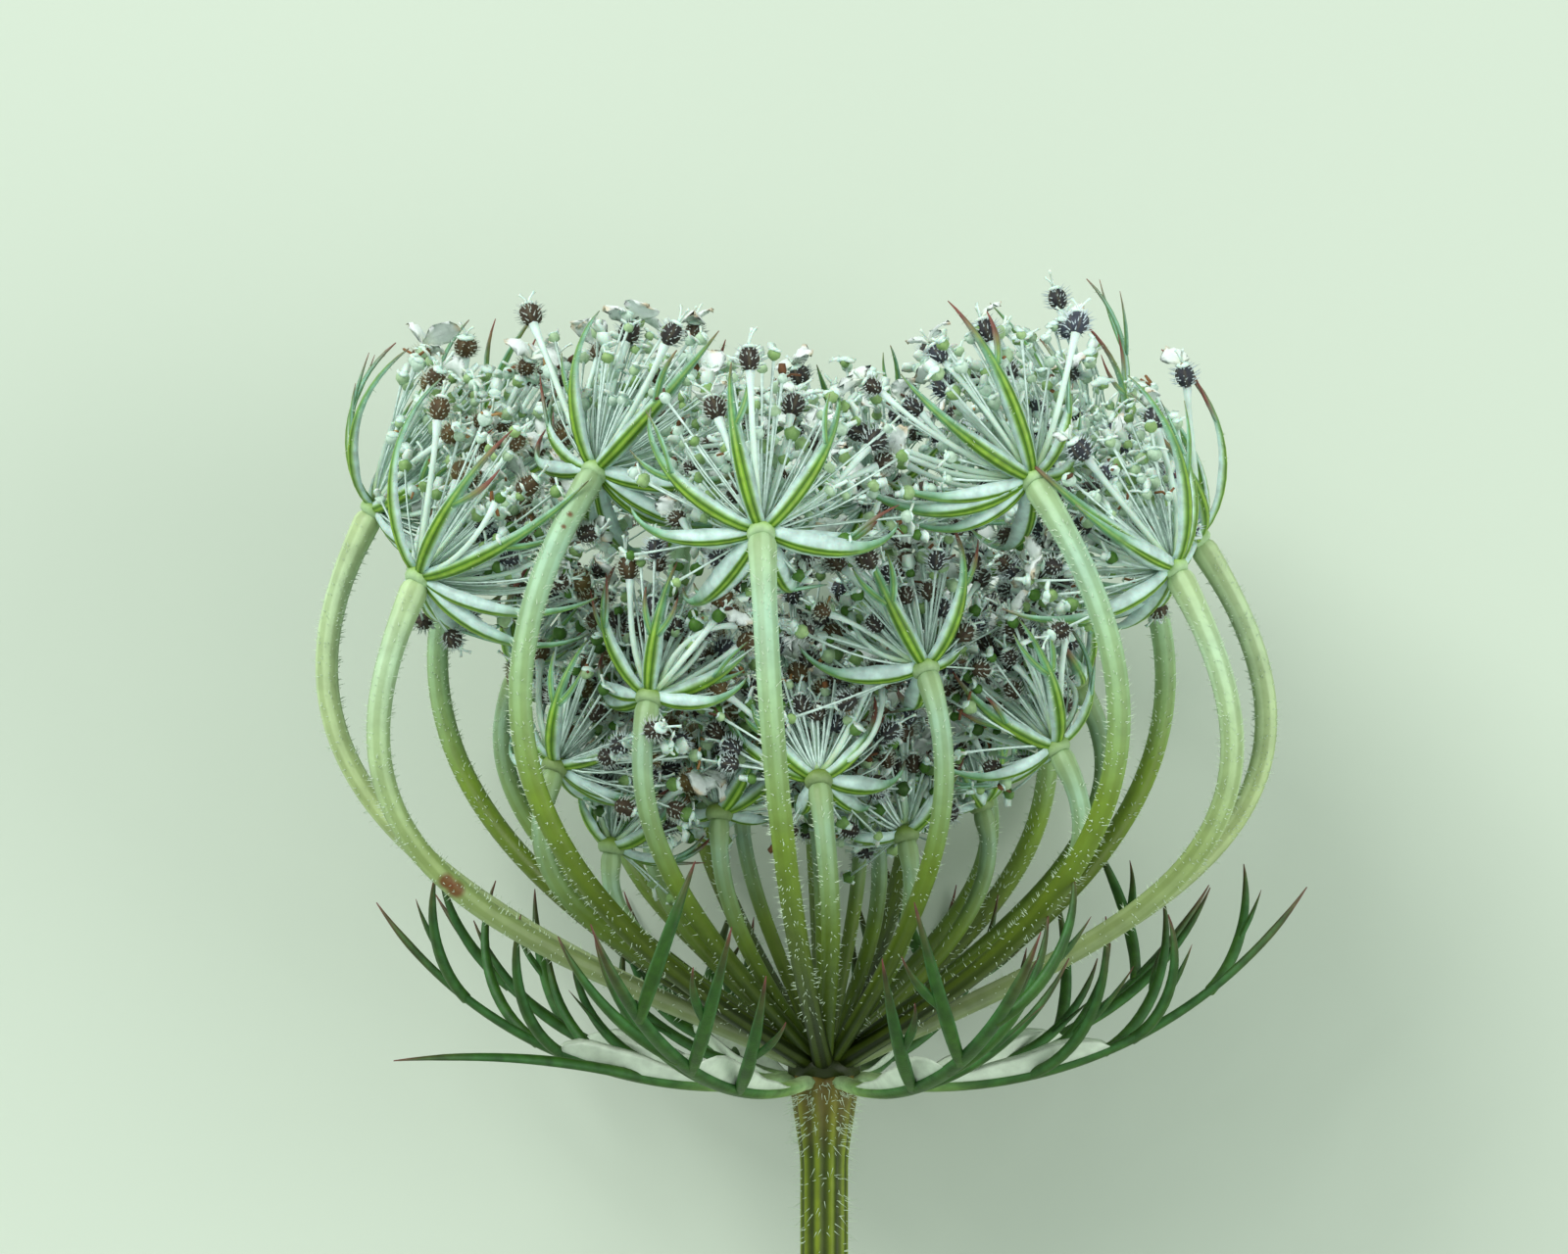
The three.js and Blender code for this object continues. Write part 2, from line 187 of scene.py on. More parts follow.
# Matt paint gives a plain ground with soft shadows and no highlights
paint, tree = skin("matt_painted_board", 0.8, 1.45)
tree.nodes["Principled BSDF"].inputs["Base Color"].default_value = linear("#c3cfbe")
floor_data.materials.append(paint)
floor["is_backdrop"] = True

# Each light: name, place in m, size in m, power in W
LIGHTS = [("window", (-0.4, 0.4, 0.6), 0.4, 4.4), ("bounce", (0.55, -0.1, 0.45), 0.5, 2)]
for name, place, size, power in LIGHTS:
    light_data = bpy.data.lights.new(name, "AREA")
    light_data.size, light_data.energy = size, power
    light = bpy.data.objects.new(name, light_data)
    light.location = place
    light.rotation_euler = (target - Vector(place)).to_track_quat("-Z", "Y").to_euler()
    bpy.context.scene.collection.objects.link(light)

sky = bpy.data.worlds.new("sky")
sky.use_nodes = True
sky.node_tree.nodes["Background"].inputs["Color"].default_value = linear("#e8f3ef")
sky.node_tree.nodes["Background"].inputs["Strength"].default_value = 0.76
bpy.context.scene.world = sky
bpy.context.scene.view_settings.view_transform = "Standard"  # colours show as they are written
print("lights:", len(LIGHTS))

# %% [markdown]
# ## The plant's numbers
# These are the CAD model's own numbers, so every form lands where its solid is. The rays stand
# in four rings. A ray is (degrees round the stem from the front, distance out, height) of its
# tip. A ring's values say how its rays bow, how thick they are and what their umbellets carry.

# %% Umbel
GAP = 0.35  # least space between two CAD nodes
SEAT = 0.3  # between an umbellet or bract and what carries it
LEAN = -0.08  # the head leans sideways, mm per mm of height
RAY_ROOT = 0.78  # of a ray's thickness at the tip
KEYS = ["root", "first", "out_to", "beyond", "under", "radius", "steps", "facing"]
KEYS += ["bracteoles", "bracteole", "stalks", "stalk", "bends", "more_stalks"]
RINGS = [
    dict(zip(KEYS, [1.35, (17.5, 7.2), 30, 0, -14, 0.68, 7, 50, 6, 9.5, 7, 8.2, 2, 13])),
    dict(zip(KEYS, [0.95, (9, 6), None, 3.5, -7, 0.58, 5, 40, 5, 7, 6, 6.6, 1, 14])),
    dict(zip(KEYS, [0.6, (4.5, 3.6), None, 0.8, -4.5, 0.5, 4, 24, 4, 5.5, 5, 5.6, 1, 12])),
    dict(zip(KEYS, [0.3, (1.2, 4), None, 0.2, -4, 0.46, 3, 8, 3, 5, 4, 5.4, 1, 10])),
]
RAYS = [
    [
        (-90, 21.8, 28), (-59, 22, 24.3), (-38, 15.6, 29.8), (-3, 20, 26.5),
        (43, 19.2, 29.3), (60, 23, 24.8), (90, 22.2, 26.5), (121, 20.5, 30.5),
        (145, 22, 25), (163, 18, 29), (-163, 18, 29), (-125, 20.5, 29),
    ],
    [
        (-53, 16, 14.8), (-30, 15, 18.3), (4, 12.5, 14.2), (27, 15, 19.8), (57, 16, 15.8),
        (98, 15.5, 19), (140, 15, 15.5), (178, 14, 18), (-140, 15.5, 16), (-98, 15, 19.5),
    ],
    [
        (-62, 11.5, 10.5), (-30, 8.8, 12.3), (36, 8.8, 11.2),
        (95, 9.5, 12.5), (155, 9, 11.5), (-120, 9.5, 12),
    ],
    [(10, 3.6, 12.5), (130, 3.8, 13.2), (-110, 3.5, 12.8)],
]
print("rays:", sum(len(ring) for ring in RAYS))

# %% Umbellets and bracts
HUB_RADIUS = 0.95
FRUIT_RADIUS, FRUIT_LENGTH = 0.72, 1.8
STALK_RADIUS = 0.21
DOME = 68  # degrees from the umbellet's middle to its outermost stalk
GOLDEN_ANGLE = 137.5
STALK_END = 0.55  # of its opening that a stalk keeps at the fruit
SHORTEST_STALK = 0.62
LEAF_SEAT, STALK_SEAT = 0.4, 0.45  # of the hub's radius, where they start in it
OPENING, CLOSING = (76, 96), (5, 35)  # degrees off the axis, at a bracteole's root and tip
BRACTEOLE_WIDTHS = np.array([0.3, 0.7, 0.45, 0])
BRACTEOLE_DEPTH = 0.42
NECK_RADIUS, NECK_LENGTH, NECK_DROP = 1.85, 4, 0.9
BRACTS = [
    (-82, 24.5), (-30, 24), (28, 23), (84, 26.5), (118, 25), (160, 23), (-150, 23), (-114, 24),
]
LEVEL_LOBE = {"bract": 0, "lobe": 0, "spread": 22, "rise": -24, "length": 13.5}
BRACT_TURN = (98, 34)  # degrees off the stem, at the root and at the tip
BRACT_RADIUS = 0.62
BRACT_WIDTHS = np.array([0.75, 1.15, 1.05, 0.85, 0.75, 0.6, 0])
LOBES = [(0.28, 1), (0.32, -1), (0.48, 1), (0.54, -1), (0.72, 1)]
LOBE_LENGTH, LOBE_RADIUS = 10, 0.42
LOBE_SPREAD, LOBE_RISE = (28, 46), (30, 75)
print("bracts:", len(BRACTS))

# %% [markdown]
# ## Directions and arcs
# Plants repeat one form with small changes. `chance` gives the same number from 0 to 1 each time
# for the same three numbers, so the plant varies and still comes out the same each run. Leaves
# and stalks are arcs, whose heading turns from one angle off an axis to another.

# %% Drawing rules
UP = np.array([0.0, 0.0, 1.0])
SIDEWAYS = np.array([1.0, 0, 0])
FLOOR_UP = np.array([0, -COS, SIN])


def chance(a, b, c):
    value = np.sin(a * 127.1 + b * 311.7 + c * 74.7) * 43758.5453
    return value - np.floor(value)


def between(limits, a, b, c):
    return limits[0] + (limits[1] - limits[0]) * chance(a, b, c)


def unit(vectors):
    return vectors / np.maximum(np.linalg.norm(vectors, axis=-1, keepdims=True), 1e-12)


def bearing(degrees):
    """Outward and sideways directions at an angle round the stem; 0 faces the viewer."""
    a = np.radians(degrees)
    return np.array([np.sin(a), -np.cos(a), 0]), np.array([np.cos(a), np.sin(a), 0])


def leaning(along, out, degrees):
    return along * np.cos(np.radians(degrees)) + out * np.sin(np.radians(degrees))


print("the front is at", bearing(0)[0], "and a draw gives", round(chance(1, 2, 3), 3))

# %% Arcs and curves
def pressed(points, radius):
    """Points that would go under the surface are pressed up to lie along it."""
    under = radius - (points @ FLOOR_UP + BASE_HEIGHT)
    return points + np.maximum(under, 0)[:, None] * FLOOR_UP


def arc(start, along, out, first, last, length, steps, ease=1):
    """An arc turns evenly; with an ease under 1, more at its start and less at its end."""
    angles = first + (last - first) * ((np.arange(steps) + 0.5) / steps) ** ease
    headings = np.array([leaning(along, out, angle) for angle in angles])
    return start + np.vstack([np.zeros(3), np.cumsum(headings * length / steps, axis=0)])


def bezier(controls, shares):
    a, b, c, d = controls
    t = np.asarray(shares, float)[:, None]
    return a * (1 - t) ** 3 + 3 * b * t * (1 - t) ** 2 + 3 * c * t**2 * (1 - t) + d * t**3


print("a quarter turn ends at", arc(np.zeros(3), UP, SIDEWAYS, 0, 90, 10, 20)[-1].round(2))

# %% [markdown]
# ## Room for each piece
# Leaves and stalks grow into free space. Each piece that has grown is kept as capsules, and the
# next one is turned and shortened a little at a time until it is clear of them. The CAD model
# places its pieces by this same rule in this same order, so both get the same plant.

# %% Keep track of the room taken
MOST_CAPSULES = 12000
taken_from = np.zeros((MOST_CAPSULES, 3))
taken_way = np.zeros((MOST_CAPSULES, 3))
taken_radius = np.zeros(MOST_CAPSULES)
taken_owner = np.zeros(MOST_CAPSULES, int)
taken_count = 0


def take(owner, points, radii):
    global taken_count
    new = slice(taken_count, taken_count + len(points) - 1)
    taken_from[new] = points[:-1]
    taken_way[new] = points[1:] - points[:-1]
    taken_radius[new] = np.maximum(radii[:-1], radii[1:])
    taken_owner[new] = owner
    taken_count += len(points) - 1


def is_clear(owner, points, radii, gap):
    """Whether the segments between the points keep the gap to all that others have taken."""
    others = np.flatnonzero(taken_owner[:taken_count] != owner)
    r, d2, radius = taken_from[others], taken_way[others], taken_radius[others]
    e = (d2 * d2).sum(1)
    for i in range(1, len(points)):
        need = max(radii[i - 1], radii[i]) + radius + gap
        d1, w = points[i] - points[i - 1], points[i - 1] - r
        a, b, c, f = d1 @ d1, d2 @ d1, w @ d1, (d2 * w).sum(1)
        den = a * e - b * b
        t = np.where(den > 1e-12, np.clip((b * f - c * e) / np.maximum(den, 1e-12), 0, 1), 0)
        u = np.clip((b * t + f) / e, 0, 1)
        t = np.clip((b * u - c) / a, 0, 1)
        apart = w + t[:, None] * d1 - u[:, None] * d2
        if ((apart * apart).sum(1) < need * need).any():
            return False
    return True


print("room for", MOST_CAPSULES, "capsules")

# %% Fit a piece into the free room
TURN_STEP, SHORTER_STEP, ROOT_SHARE = 7, 0.03, 0.4


def fitted(owner, tries, draw, gap=GAP):
    """The first try that is clear past its root, as a dictionary, or None."""
    for attempt in range(tries):
        turned = TURN_STEP * ((attempt + 1) // 2) * (1 if attempt % 2 else -1)
        piece = draw(turned, 1 - SHORTER_STEP * attempt)
        points = piece["points"]
        tested = np.vstack([points[0] + ROOT_SHARE * (points[1] - points[0]), points[1:]])
        if is_clear(owner, tested, piece["radii"], gap):
            take(owner, points, np.asarray(piece["radii"]))
            return piece
    return None


print("a piece turns by", TURN_STEP, "degrees more at every second try")

# %% [markdown]
# ## Place the rays and umbellets
# A ray is a Bezier curve from the cushion on top of the stem to its tip, and the umbellet's hub
# sits just past the tip, tilted in towards the middle of the nest.

# %% Place every ray and hub
RAY_OWNER, BRACT_OWNER = 100, 200


def ray_controls(ring, azimuth, reach, height):
    out, _ = bearing(azimuth)
    elbow = ring["out_to"] or reach + ring["beyond"]
    bows = [(ring["root"], 0.2), ring["first"], (elbow, height + ring["under"]), (reach, height)]
    return np.array([out * r + np.array([LEAN * z, 0, z]) for r, z in bows])


umbellets = []
for ring, tips in zip(RINGS, RAYS):
    for azimuth, reach, height in tips:
        out, side = bearing(azimuth)
        axis = leaning(UP, out, -ring["facing"])
        controls = ray_controls(ring, azimuth, reach, height)
        before_end, end = bezier(controls, [0.9999, 1])
        hub = end + unit(end - before_end) * (SEAT + HUB_RADIUS * 0.9)
        u = {"number": len(umbellets) + 1, "ring": ring, "controls": controls, "hub": hub}
        u |= {"side": side, "axis": axis, "third": np.cross(axis, side)}
        umbellets.append(u | {"leaves": [], "stalks": []})
        shares = np.linspace(0, 1, ring["steps"] + 1)
        radii = ring["radius"] * (RAY_ROOT + (1 - RAY_ROOT) * shares)
        take(RAY_OWNER, bezier(controls, shares), radii)
for u in umbellets:
    take(u["number"], np.array([u["hub"], u["hub"] + 0.1 * u["axis"]]), np.full(2, HUB_RADIUS))
print("umbellets:", len(umbellets), "with capsules:", taken_count)

# %% [markdown]
# ## Place the bracts
# A bract leaves the stem level and curves up, with narrow lobes to either side. Its lobes start on
# a smooth line through the midrib's points, the centripetal Catmull-Rom curve of the CAD model.

# %% A smooth line through a bract's points
def through(points, share):
    """A point of the centripetal Catmull-Rom curve through the points."""
    last = len(points) - 1
    place = share * last
    i = min(int(place), last - 1)
    p1, p2 = points[i], points[i + 1]
    p0 = points[i - 1] if i else 2 * points[0] - points[1]
    p3 = points[i + 2] if i + 2 <= last else 2 * points[last] - points[last - 1]
    d0, d1, d2 = (np.linalg.norm(b - a) ** 0.5 for a, b in ((p0, p1), (p1, p2), (p2, p3)))
    m1 = d1 * ((p1 - p0) / d0 - (p2 - p0) / (d0 + d1) + (p2 - p1) / d1)
    m2 = d1 * ((p2 - p1) / d1 - (p3 - p1) / (d1 + d2) + (p3 - p2) / d2)
    t = place - i
    bend = (-3 * p1 + 3 * p2 - 2 * m1 - m2) * t * t + (2 * p1 - 2 * p2 + m1 + m2) * t**3
    return p1 + m1 * t + bend


print("three quarters of the way through three points:", through(np.eye(3), 0.75).round(2))

# %% Place every bract and its lobes
bracts = []
for index, (azimuth, length) in enumerate(BRACTS):
    out, side = bearing(azimuth)
    start = out * (NECK_RADIUS + SEAT) - NECK_DROP * UP
    midrib = pressed(arc(start, UP, out, *BRACT_TURN, length, 6), BRACT_RADIUS)
    take(BRACT_OWNER + index, midrib, BRACT_WIDTHS * BRACT_RADIUS)
    bract = {"start": midrib[0], "out": out, "side": side, "length": length, "lobes": []}
    for key, (place, hand) in enumerate(LOBES):
        root = through(midrib, place)
        heading = unit(through(midrib, place + 1e-4) - through(midrib, place - 1e-4))
        upper = unit(np.cross(heading, side))
        upper = -upper if upper[2] < 0 else upper
        reach = LOBE_LENGTH * (1.1 - 0.45 * place) * between((0.8, 1.15), index, key, 7)
        spread, rise = between(LOBE_SPREAD, index, key, 6), between(LOBE_RISE, index, key, 8)
        if index == LEVEL_LOBE["bract"] and key == LEVEL_LOBE["lobe"]:
            spread, rise, reach = LEVEL_LOBE["spread"], LEVEL_LOBE["rise"], LEVEL_LOBE["length"]

        def lobe(turned, share):
            lead = leaning(heading, side * hand, spread + turned * 0.5)
            shape = [root, upper, lead, 90, 90 - rise, reach * share]
            points = pressed(arc(*shape, 3), LOBE_RADIUS)
            return {"points": points, "radii": [LOBE_RADIUS] * 3 + [0.1], "shape": shape}

        found = fitted(BRACT_OWNER + index, 9, lobe)
        bract["lobes"] += [found] if found else []
    bracts.append(bract)
print("lobes:", sum(len(bract["lobes"]) for bract in bracts))

# %% [markdown]
# ## Place the bracteoles and stalks
# The umbellets grow together, one piece each by turns, so that all get room alike. After the
# pieces that CAD has come thinner ones, which may stand closer together. The thin bracteoles are
# kept on the umbellet's lower side only, so that its upper side stays open.

# %% Rules for one bracteole and one stalk
def bracteole(u, index, turned, share, slimmer=1):
    ring, number = u["ring"], u["number"]
    place = 360 * (index + 0.5 * chance(number, index, 1)) / ring["bracteoles"]
    out = leaning(u["side"], u["third"], place + turned)
    length = ring["bracteole"] * share * between((0.85, 1.1), number, index, 2)
    opening, closing = between(OPENING, number, index, 3), between(CLOSING, number, index, 4)
    start = u["hub"] + out * HUB_RADIUS * LEAF_SEAT
    shape = [start, u["axis"], out, opening, closing, length]
    radii = np.maximum(BRACTEOLE_WIDTHS * 0.9, 0.3) * slimmer
    points = pressed(arc(*shape, 3), BRACTEOLE_DEPTH)
    return {"points": points, "radii": radii, "shape": shape, "slimmer": slimmer}


def stalk(u, index, turned, share, count=None, size=1, longer=1):
    ring, number, axis = u["ring"], u["number"], u["axis"]
    outwards = np.sqrt((index + 0.5) / (count or ring["stalks"]))
    out = leaning(u["side"], u["third"], GOLDEN_ANGLE * index + 40 * number + turned)
    opening = DOME * outwards * (0.7 + 0.3 * share)
    dome_share = SHORTEST_STALK + (1 - SHORTEST_STALK) * outwards
    length = ring["stalk"] * longer * share * dome_share * between((0.9, 1.1), number, index, 5)
    start = u["hub"] + leaning(axis, out, opening) * HUB_RADIUS * STALK_SEAT
    points = arc(start, axis, out, opening, opening * STALK_END, length, ring["bends"])
    heading = unit(points[-1] - points[-2])
    fruit = points[-1] + heading * FRUIT_LENGTH * size * np.array([[0.5], [1]])
    radii = np.array([STALK_RADIUS] * (ring["bends"] + 1) + [FRUIT_RADIUS * size, 0])
    points = pressed(np.vstack([points, fruit]), FRUIT_RADIUS * size)
    return {"points": points, "radii": radii, "first": leaning(axis, out, opening), "size": size}


print("a bracteole's points:", len(bracteole(umbellets[0], 0, 0, 1)["points"]))

# %% Grow the pieces that CAD has, then thinner ones
THIN_GAP = 0.06


def thin_leaf(u, index, turned, share):
    return bracteole(u, index + 0.45, turned, 0.95 * share, 0.8)


def thin_stalk(u, index, turned, share):
    size = between((0.62, 0.9), u["number"], index, 9)
    longer = between((0.7, 1.12), u["number"], index, 10)
    return stalk(u, index + 0.37, turned, share, u["ring"]["more_stalks"], size, longer)


def grow(kept_in, counted, fewer, tries, gap, rule):
    """Every umbellet grows its first piece, then every one its second, and so on."""
    for index in range(max(ring[counted] for ring in RINGS) - fewer):
        for u in umbellets:
            if index < u["ring"][counted] - fewer:
                grown = fitted(u["number"], tries, lambda *fit: rule(u, index, *fit), gap)
                u[kept_in] += [grown] if grown else []
    print(kept_in, "in all umbellets:", sum(len(u[kept_in]) for u in umbellets))


grow("leaves", "bracteoles", 0, 11, GAP, bracteole)
grow("stalks", "stalks", 0, 11, GAP, stalk)
grow("leaves", "bracteoles", 1, 7, THIN_GAP, thin_leaf)
grow("stalks", "more_stalks", 0, 6, THIN_GAP, thin_stalk)
for u in umbellets:
    lower = [leaf["shape"][2] @ u["third"] > -0.2 for leaf in u["leaves"]]
    u["leaves"] = [leaf for leaf, low in zip(u["leaves"], lower) if low or leaf["slimmer"] == 1]

# %% [markdown]
# ## Mesh tools
# Nearly every part of a plant is one outline swept along a line: a circle gives a stalk, a thin
# lens gives a leaf. Curve objects could do it too, but there are thousands of parts, and NumPy
# makes them fast and joins them into one mesh for each piece. Each point also keeps three numbers
# for the materials: `along`, from root to tip, `across`, from edge to edge or from groove to
# ridge, and `tone`, one draw for the whole part.

# %% Gather parts and turn them into one object
class Parts:
    """The parts of one piece, in plant mm."""

    def __init__(self):
        self.points, self.numbers, self.faces, self.skins, self.count = [], [], [], [], 0

    def add(self, points, faces, skin_index, along, across, tone):
        self.points.append(points)
        numbers = np.column_stack(np.broadcast_arrays(along, across, tone, points[:, 0])[:3])
        self.numbers.append(numbers)
        self.faces += [row for block in faces for row in (np.asarray(block) + self.count).tolist()]
        self.skins += [skin_index] * sum(len(block) for block in faces)
        self.count += len(points)


def shown(name, parts, materials, slot, *nodes):
    """Makes the piece, which rides on the plant and stands for CAD nodes. Gives its triangles."""
    mesh = bpy.data.meshes.new(name)
    mesh.from_pydata(lay_down(np.vstack(parts.points)), [], parts.faces)
    for material in materials:
        mesh.materials.append(material)
    mesh.polygons.foreach_set("material_index", parts.skins)
    mesh.polygons.foreach_set("use_smooth", [True] * len(mesh.polygons))
    numbers = np.vstack(parts.numbers)
    for column, label in enumerate(["along", "across", "tone"]):
        values = mesh.attributes.new(label, "FLOAT", "POINT")
        values.data.foreach_set("value", numbers[:, column].astype(np.float32))
    piece = bpy.data.objects.new(name, mesh)
    bpy.context.scene.collection.objects.link(piece)
    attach(piece, "root")
    if nodes:
        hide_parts(*nodes)
    return sum(len(face) - 2 for face in parts.faces)


print("mesh tools ready")

# %% Outlines
def circle(sides):
    angles = 2 * np.pi * np.arange(sides) / sides
    return np.column_stack([np.cos(angles), np.sin(angles)])


def ribbed(sides, ribs, share):
    """A circle with ribs, and the height at its points: 1 on a rib, -1 in a groove."""
    height = np.cos(ribs * 2 * np.pi * np.arange(sides) / sides)
    return circle(sides) * (1 - share * (1 - height))[:, None], height


def lens(columns):
    """A thin leaf's outline, from edge to edge and back, fuller in its middle."""
    top = np.linspace(-1, 1, columns)
    there = np.column_stack([top, np.sqrt(1 - top**2)])
    return np.vstack([there, (there * [1, -1])[-2:0:-1]])


print("outline of a leaf:", len(lens(7)), "points")

# %% Sweep an outline along a line
def sweep(points, side, outline, widths, depths, cup=0):
    """Points and faces of an outline swept along points. A cup lifts the two edges."""
    heading = unit(np.gradient(points, axis=0))
    normal = unit(np.cross(side, heading))
    across = np.cross(heading, normal)
    widths, depths = (np.broadcast_to(x, len(points))[:, None] for x in (widths, depths))
    u, h = outline.T
    rise = h * depths + np.asarray(cup) * u**2 * widths
    rings = points[:, None] + across[:, None] * (u * widths)[..., None]
    rings = rings + normal[:, None] * rise[..., None]
    count, sides = len(points), len(outline)
    here = (np.arange(count - 1)[:, None] * sides + np.arange(sides)).ravel()
    there = (np.arange(count - 1)[:, None] * sides + (np.arange(sides) + 1) % sides).ravel()
    walls = np.column_stack([here, here + sides, there + sides, there])
    start = np.arange(sides)[None]
    return rings.reshape(-1, 3), [walls, start, start[:, ::-1] + (count - 1) * sides]


def swept(parts, skin_index, line, side, outline, widths, depths=None, cup=0, **numbers):
    """Adds a sweep: along has a number for each ring, across one for each outline point."""
    points, faces = sweep(line, side, outline, widths, widths if depths is None else depths, cup)
    along = np.repeat(np.broadcast_to(numbers.get("along", 0), len(line)), len(outline))
    across = np.tile(np.broadcast_to(numbers.get("across", 0), len(outline)), len(line))
    parts.add(points, faces, skin_index, along, across, numbers.get("tone", 0.5))


tube, walls = sweep(np.arange(3)[:, None] * UP, SIDEWAYS, circle(4), 1, 1)
print("a square tube of three rings:", len(tube), "points,", sum(map(len, walls)), "faces")

# %% [markdown]
# ## Hairs
# The plant's hairs and bristles are stiff, short and straight. Each one is a three-sided spike of
# mesh, because particle or curve hair would not be exported with the model. The real hairs are
# about 0.02 mm thick, and the spikes are thicker, so that they show in the render.

# %% Many hairs at once
def hairs(parts, roots, ways, lengths, radius, skin_index, tone=0.5):
    ways = unit(ways)
    helper = np.where(np.abs(ways[:, 2:]) < 0.9, [[0.0, 0.0, 1.0]], [[1.0, 0.0, 0.0]])
    one = unit(np.cross(ways, helper))
    two = np.cross(ways, one)
    ring = [roots + radius * (c * one + s * two) for c, s in circle(3)]
    tips = roots + ways * lengths[:, None]
    points = np.stack([*ring, tips], axis=1).reshape(-1, 3)
    first = 4 * np.arange(len(roots))
    faces = [np.column_stack([first + j, first + (j + 1) % 3, first + 3]) for j in range(3)]
    parts.add(points, faces, skin_index, np.tile([0, 0, 0, 1], len(roots)), 0, tone)


def on_line(line, places):
    """The points at those places, counted in steps of the line, and each one's step."""
    step = places.astype(int)
    return line[step] + (line[step + 1] - line[step]) * (places % 1)[:, None], step


print("hair tools ready")

# %% [markdown]
# ## Patterns for the skins
# No part of a plant has one even colour. `faded` runs through a ramp's colours by one of the
# points' numbers, `washed` mixes in another colour where a number passes a limit, `mottled` gives
# soft spots and `grained` fine bumps. Spots and bumps are noise in object space, sized in mm, so
# no part needs a UV map. Spots are patches of older and younger cells, 0.3 to 1.2 mm wide. Bumps
# are the cells themselves: those are about 0.05 mm wide, too fine to show in the render, so the
# bumps are drawn 0.15 to 0.3 mm wide.

# %% Fade, wash, mottle and grain a skin
ALONG, ACROSS, TONE = (
    {"output": "Fac", "attribute_name": label} for label in ("along", "across", "tone")
)


def faded(tree, number, stops):
    """The stops' colour at one of the points' numbers."""
    return add(tree, "ValToRGB", {"Fac": add(tree, "Attribute", **number)}, stops)


def washed(tree, colour, value, start, full, code, most=1):
    """The colour, with another mixed in: none at `start`, and `most` of it at `full`."""
    span = {"From Min": start, "From Max": full, "To Max": most}
    share = add(tree, "MapRange", {"Value": value, **span})
    return add(tree, "MixRGB", {"Fac": share, "Color1": colour, "Color2": linear(code)})


def mottled(tree, colour, size, low, high):
    """Gives the skin the colour, darker and lighter in soft spots of about that size in mm."""
    place = add(tree, "TexCoord", output="Object")
    noise = {"Vector": place, "Scale": 1000 / size, "Detail": 3}
    spots = add(tree, "TexNoise", noise, output="Fac")
    span = {"From Min": 0.35, "From Max": 0.65, "To Min": low, "To Max": high}
    value = add(tree, "MapRange", {"Value": spots, **span})
    final = add(tree, "HueSaturation", {"Color": colour, "Value": value})
    tree.links.new(final, tree.nodes["Principled BSDF"].inputs["Base Color"])


def grained(tree, size, height):
    """Gives the skin small bumps of that size and height in mm."""
    place = add(tree, "TexCoord", output="Object")
    noise = {"Vector": place, "Scale": 1000 / size, "Detail": 2}
    bumps = add(tree, "TexNoise", noise, output="Fac")
    bump = add(tree, "Bump", {"Height": bumps, "Distance": height / 1000})
    tree.links.new(bump, tree.nodes["Principled BSDF"].inputs["Normal"])


print("patterns: faded, washed, mottled and grained")

# %% [markdown]
# ## Materials of stems and rays
# Fresh stems are waxy skin over wet green tissue: an IOR near 1.4, satin, with ridges of paler
# strengthening tissue and darker grooves between them. The colour fades from olive green at the
# bottom to a pale mint green at the top of the rays, and the darkest olive low on the rays is
# painted shade, where the nest above shades them. The hairs are clear, dry cell walls.

# %% Stem skin: ribbed, olive green, browner at the collar
# Wax over wet tissue gives the eye a soft, broad shine along each rib
stem_skin, tree = skin("waxy_ribbed_stem", 0.48, 1.37)
RIB_STOPS = [(0, "#323f04"), (0.5, "#4d5e08"), (1, "#76881c")]
height = add(tree, "MapRange", {"Value": add(tree, "Attribute", **ACROSS), "From Min": -1})
ribs = add(tree, "ValToRGB", {"Fac": height}, RIB_STOPS)
browner = washed(tree, ribs, add(tree, "Attribute", **ALONG), 0.93, 1, "#6a5c24")
mottled(tree, browner, 0.9, 0.85, 1.1)
grained(tree, 0.25, 0.02)
print("material:", stem_skin.name)

# %% Ray skin: olive green at the cushion, darkened there with painted shade, pale at the umbellet
# The wax on a younger, paler skin gives a slightly sharper shine than on the stem
ray_skin, tree = skin("waxy_pale_ray", 0.45, 1.37)
# The darkest stops, low on the rays, are painted shade: the rays' olive green darkened where the
# nest above shades them
RAY_STOPS = [
    (0, "#182301"), (0.15, "#223001"), (0.38, "#4d6206"), (0.58, "#75922e"), (0.8, "#98bb8b"),
    (0.92, "#a9cfb0"), (1, "#adcc9c"),
]
green = faded(tree, ALONG, RAY_STOPS)
tone = add(tree, "Attribute", **TONE)
# Painted sunlight: rays with a tone over 0.8 are made paler and yellower, as light falls on them
painted_sunlight = washed(tree, green, tone, 0.8, 1, "#cde0a8", 0.62)  # rays in the sun
# Painted shade: rays with a tone under 0.3, those of the inner rings, are made darker and duller
painted_nest_shade = washed(tree, painted_sunlight, tone, 0.3, 0, "#566f2c", 0.55)  # rays inside the nest
lined = washed(tree, painted_nest_shade, add(tree, "Attribute", **ACROSS), 0.2, -0.9, "#62761c", 0.5)
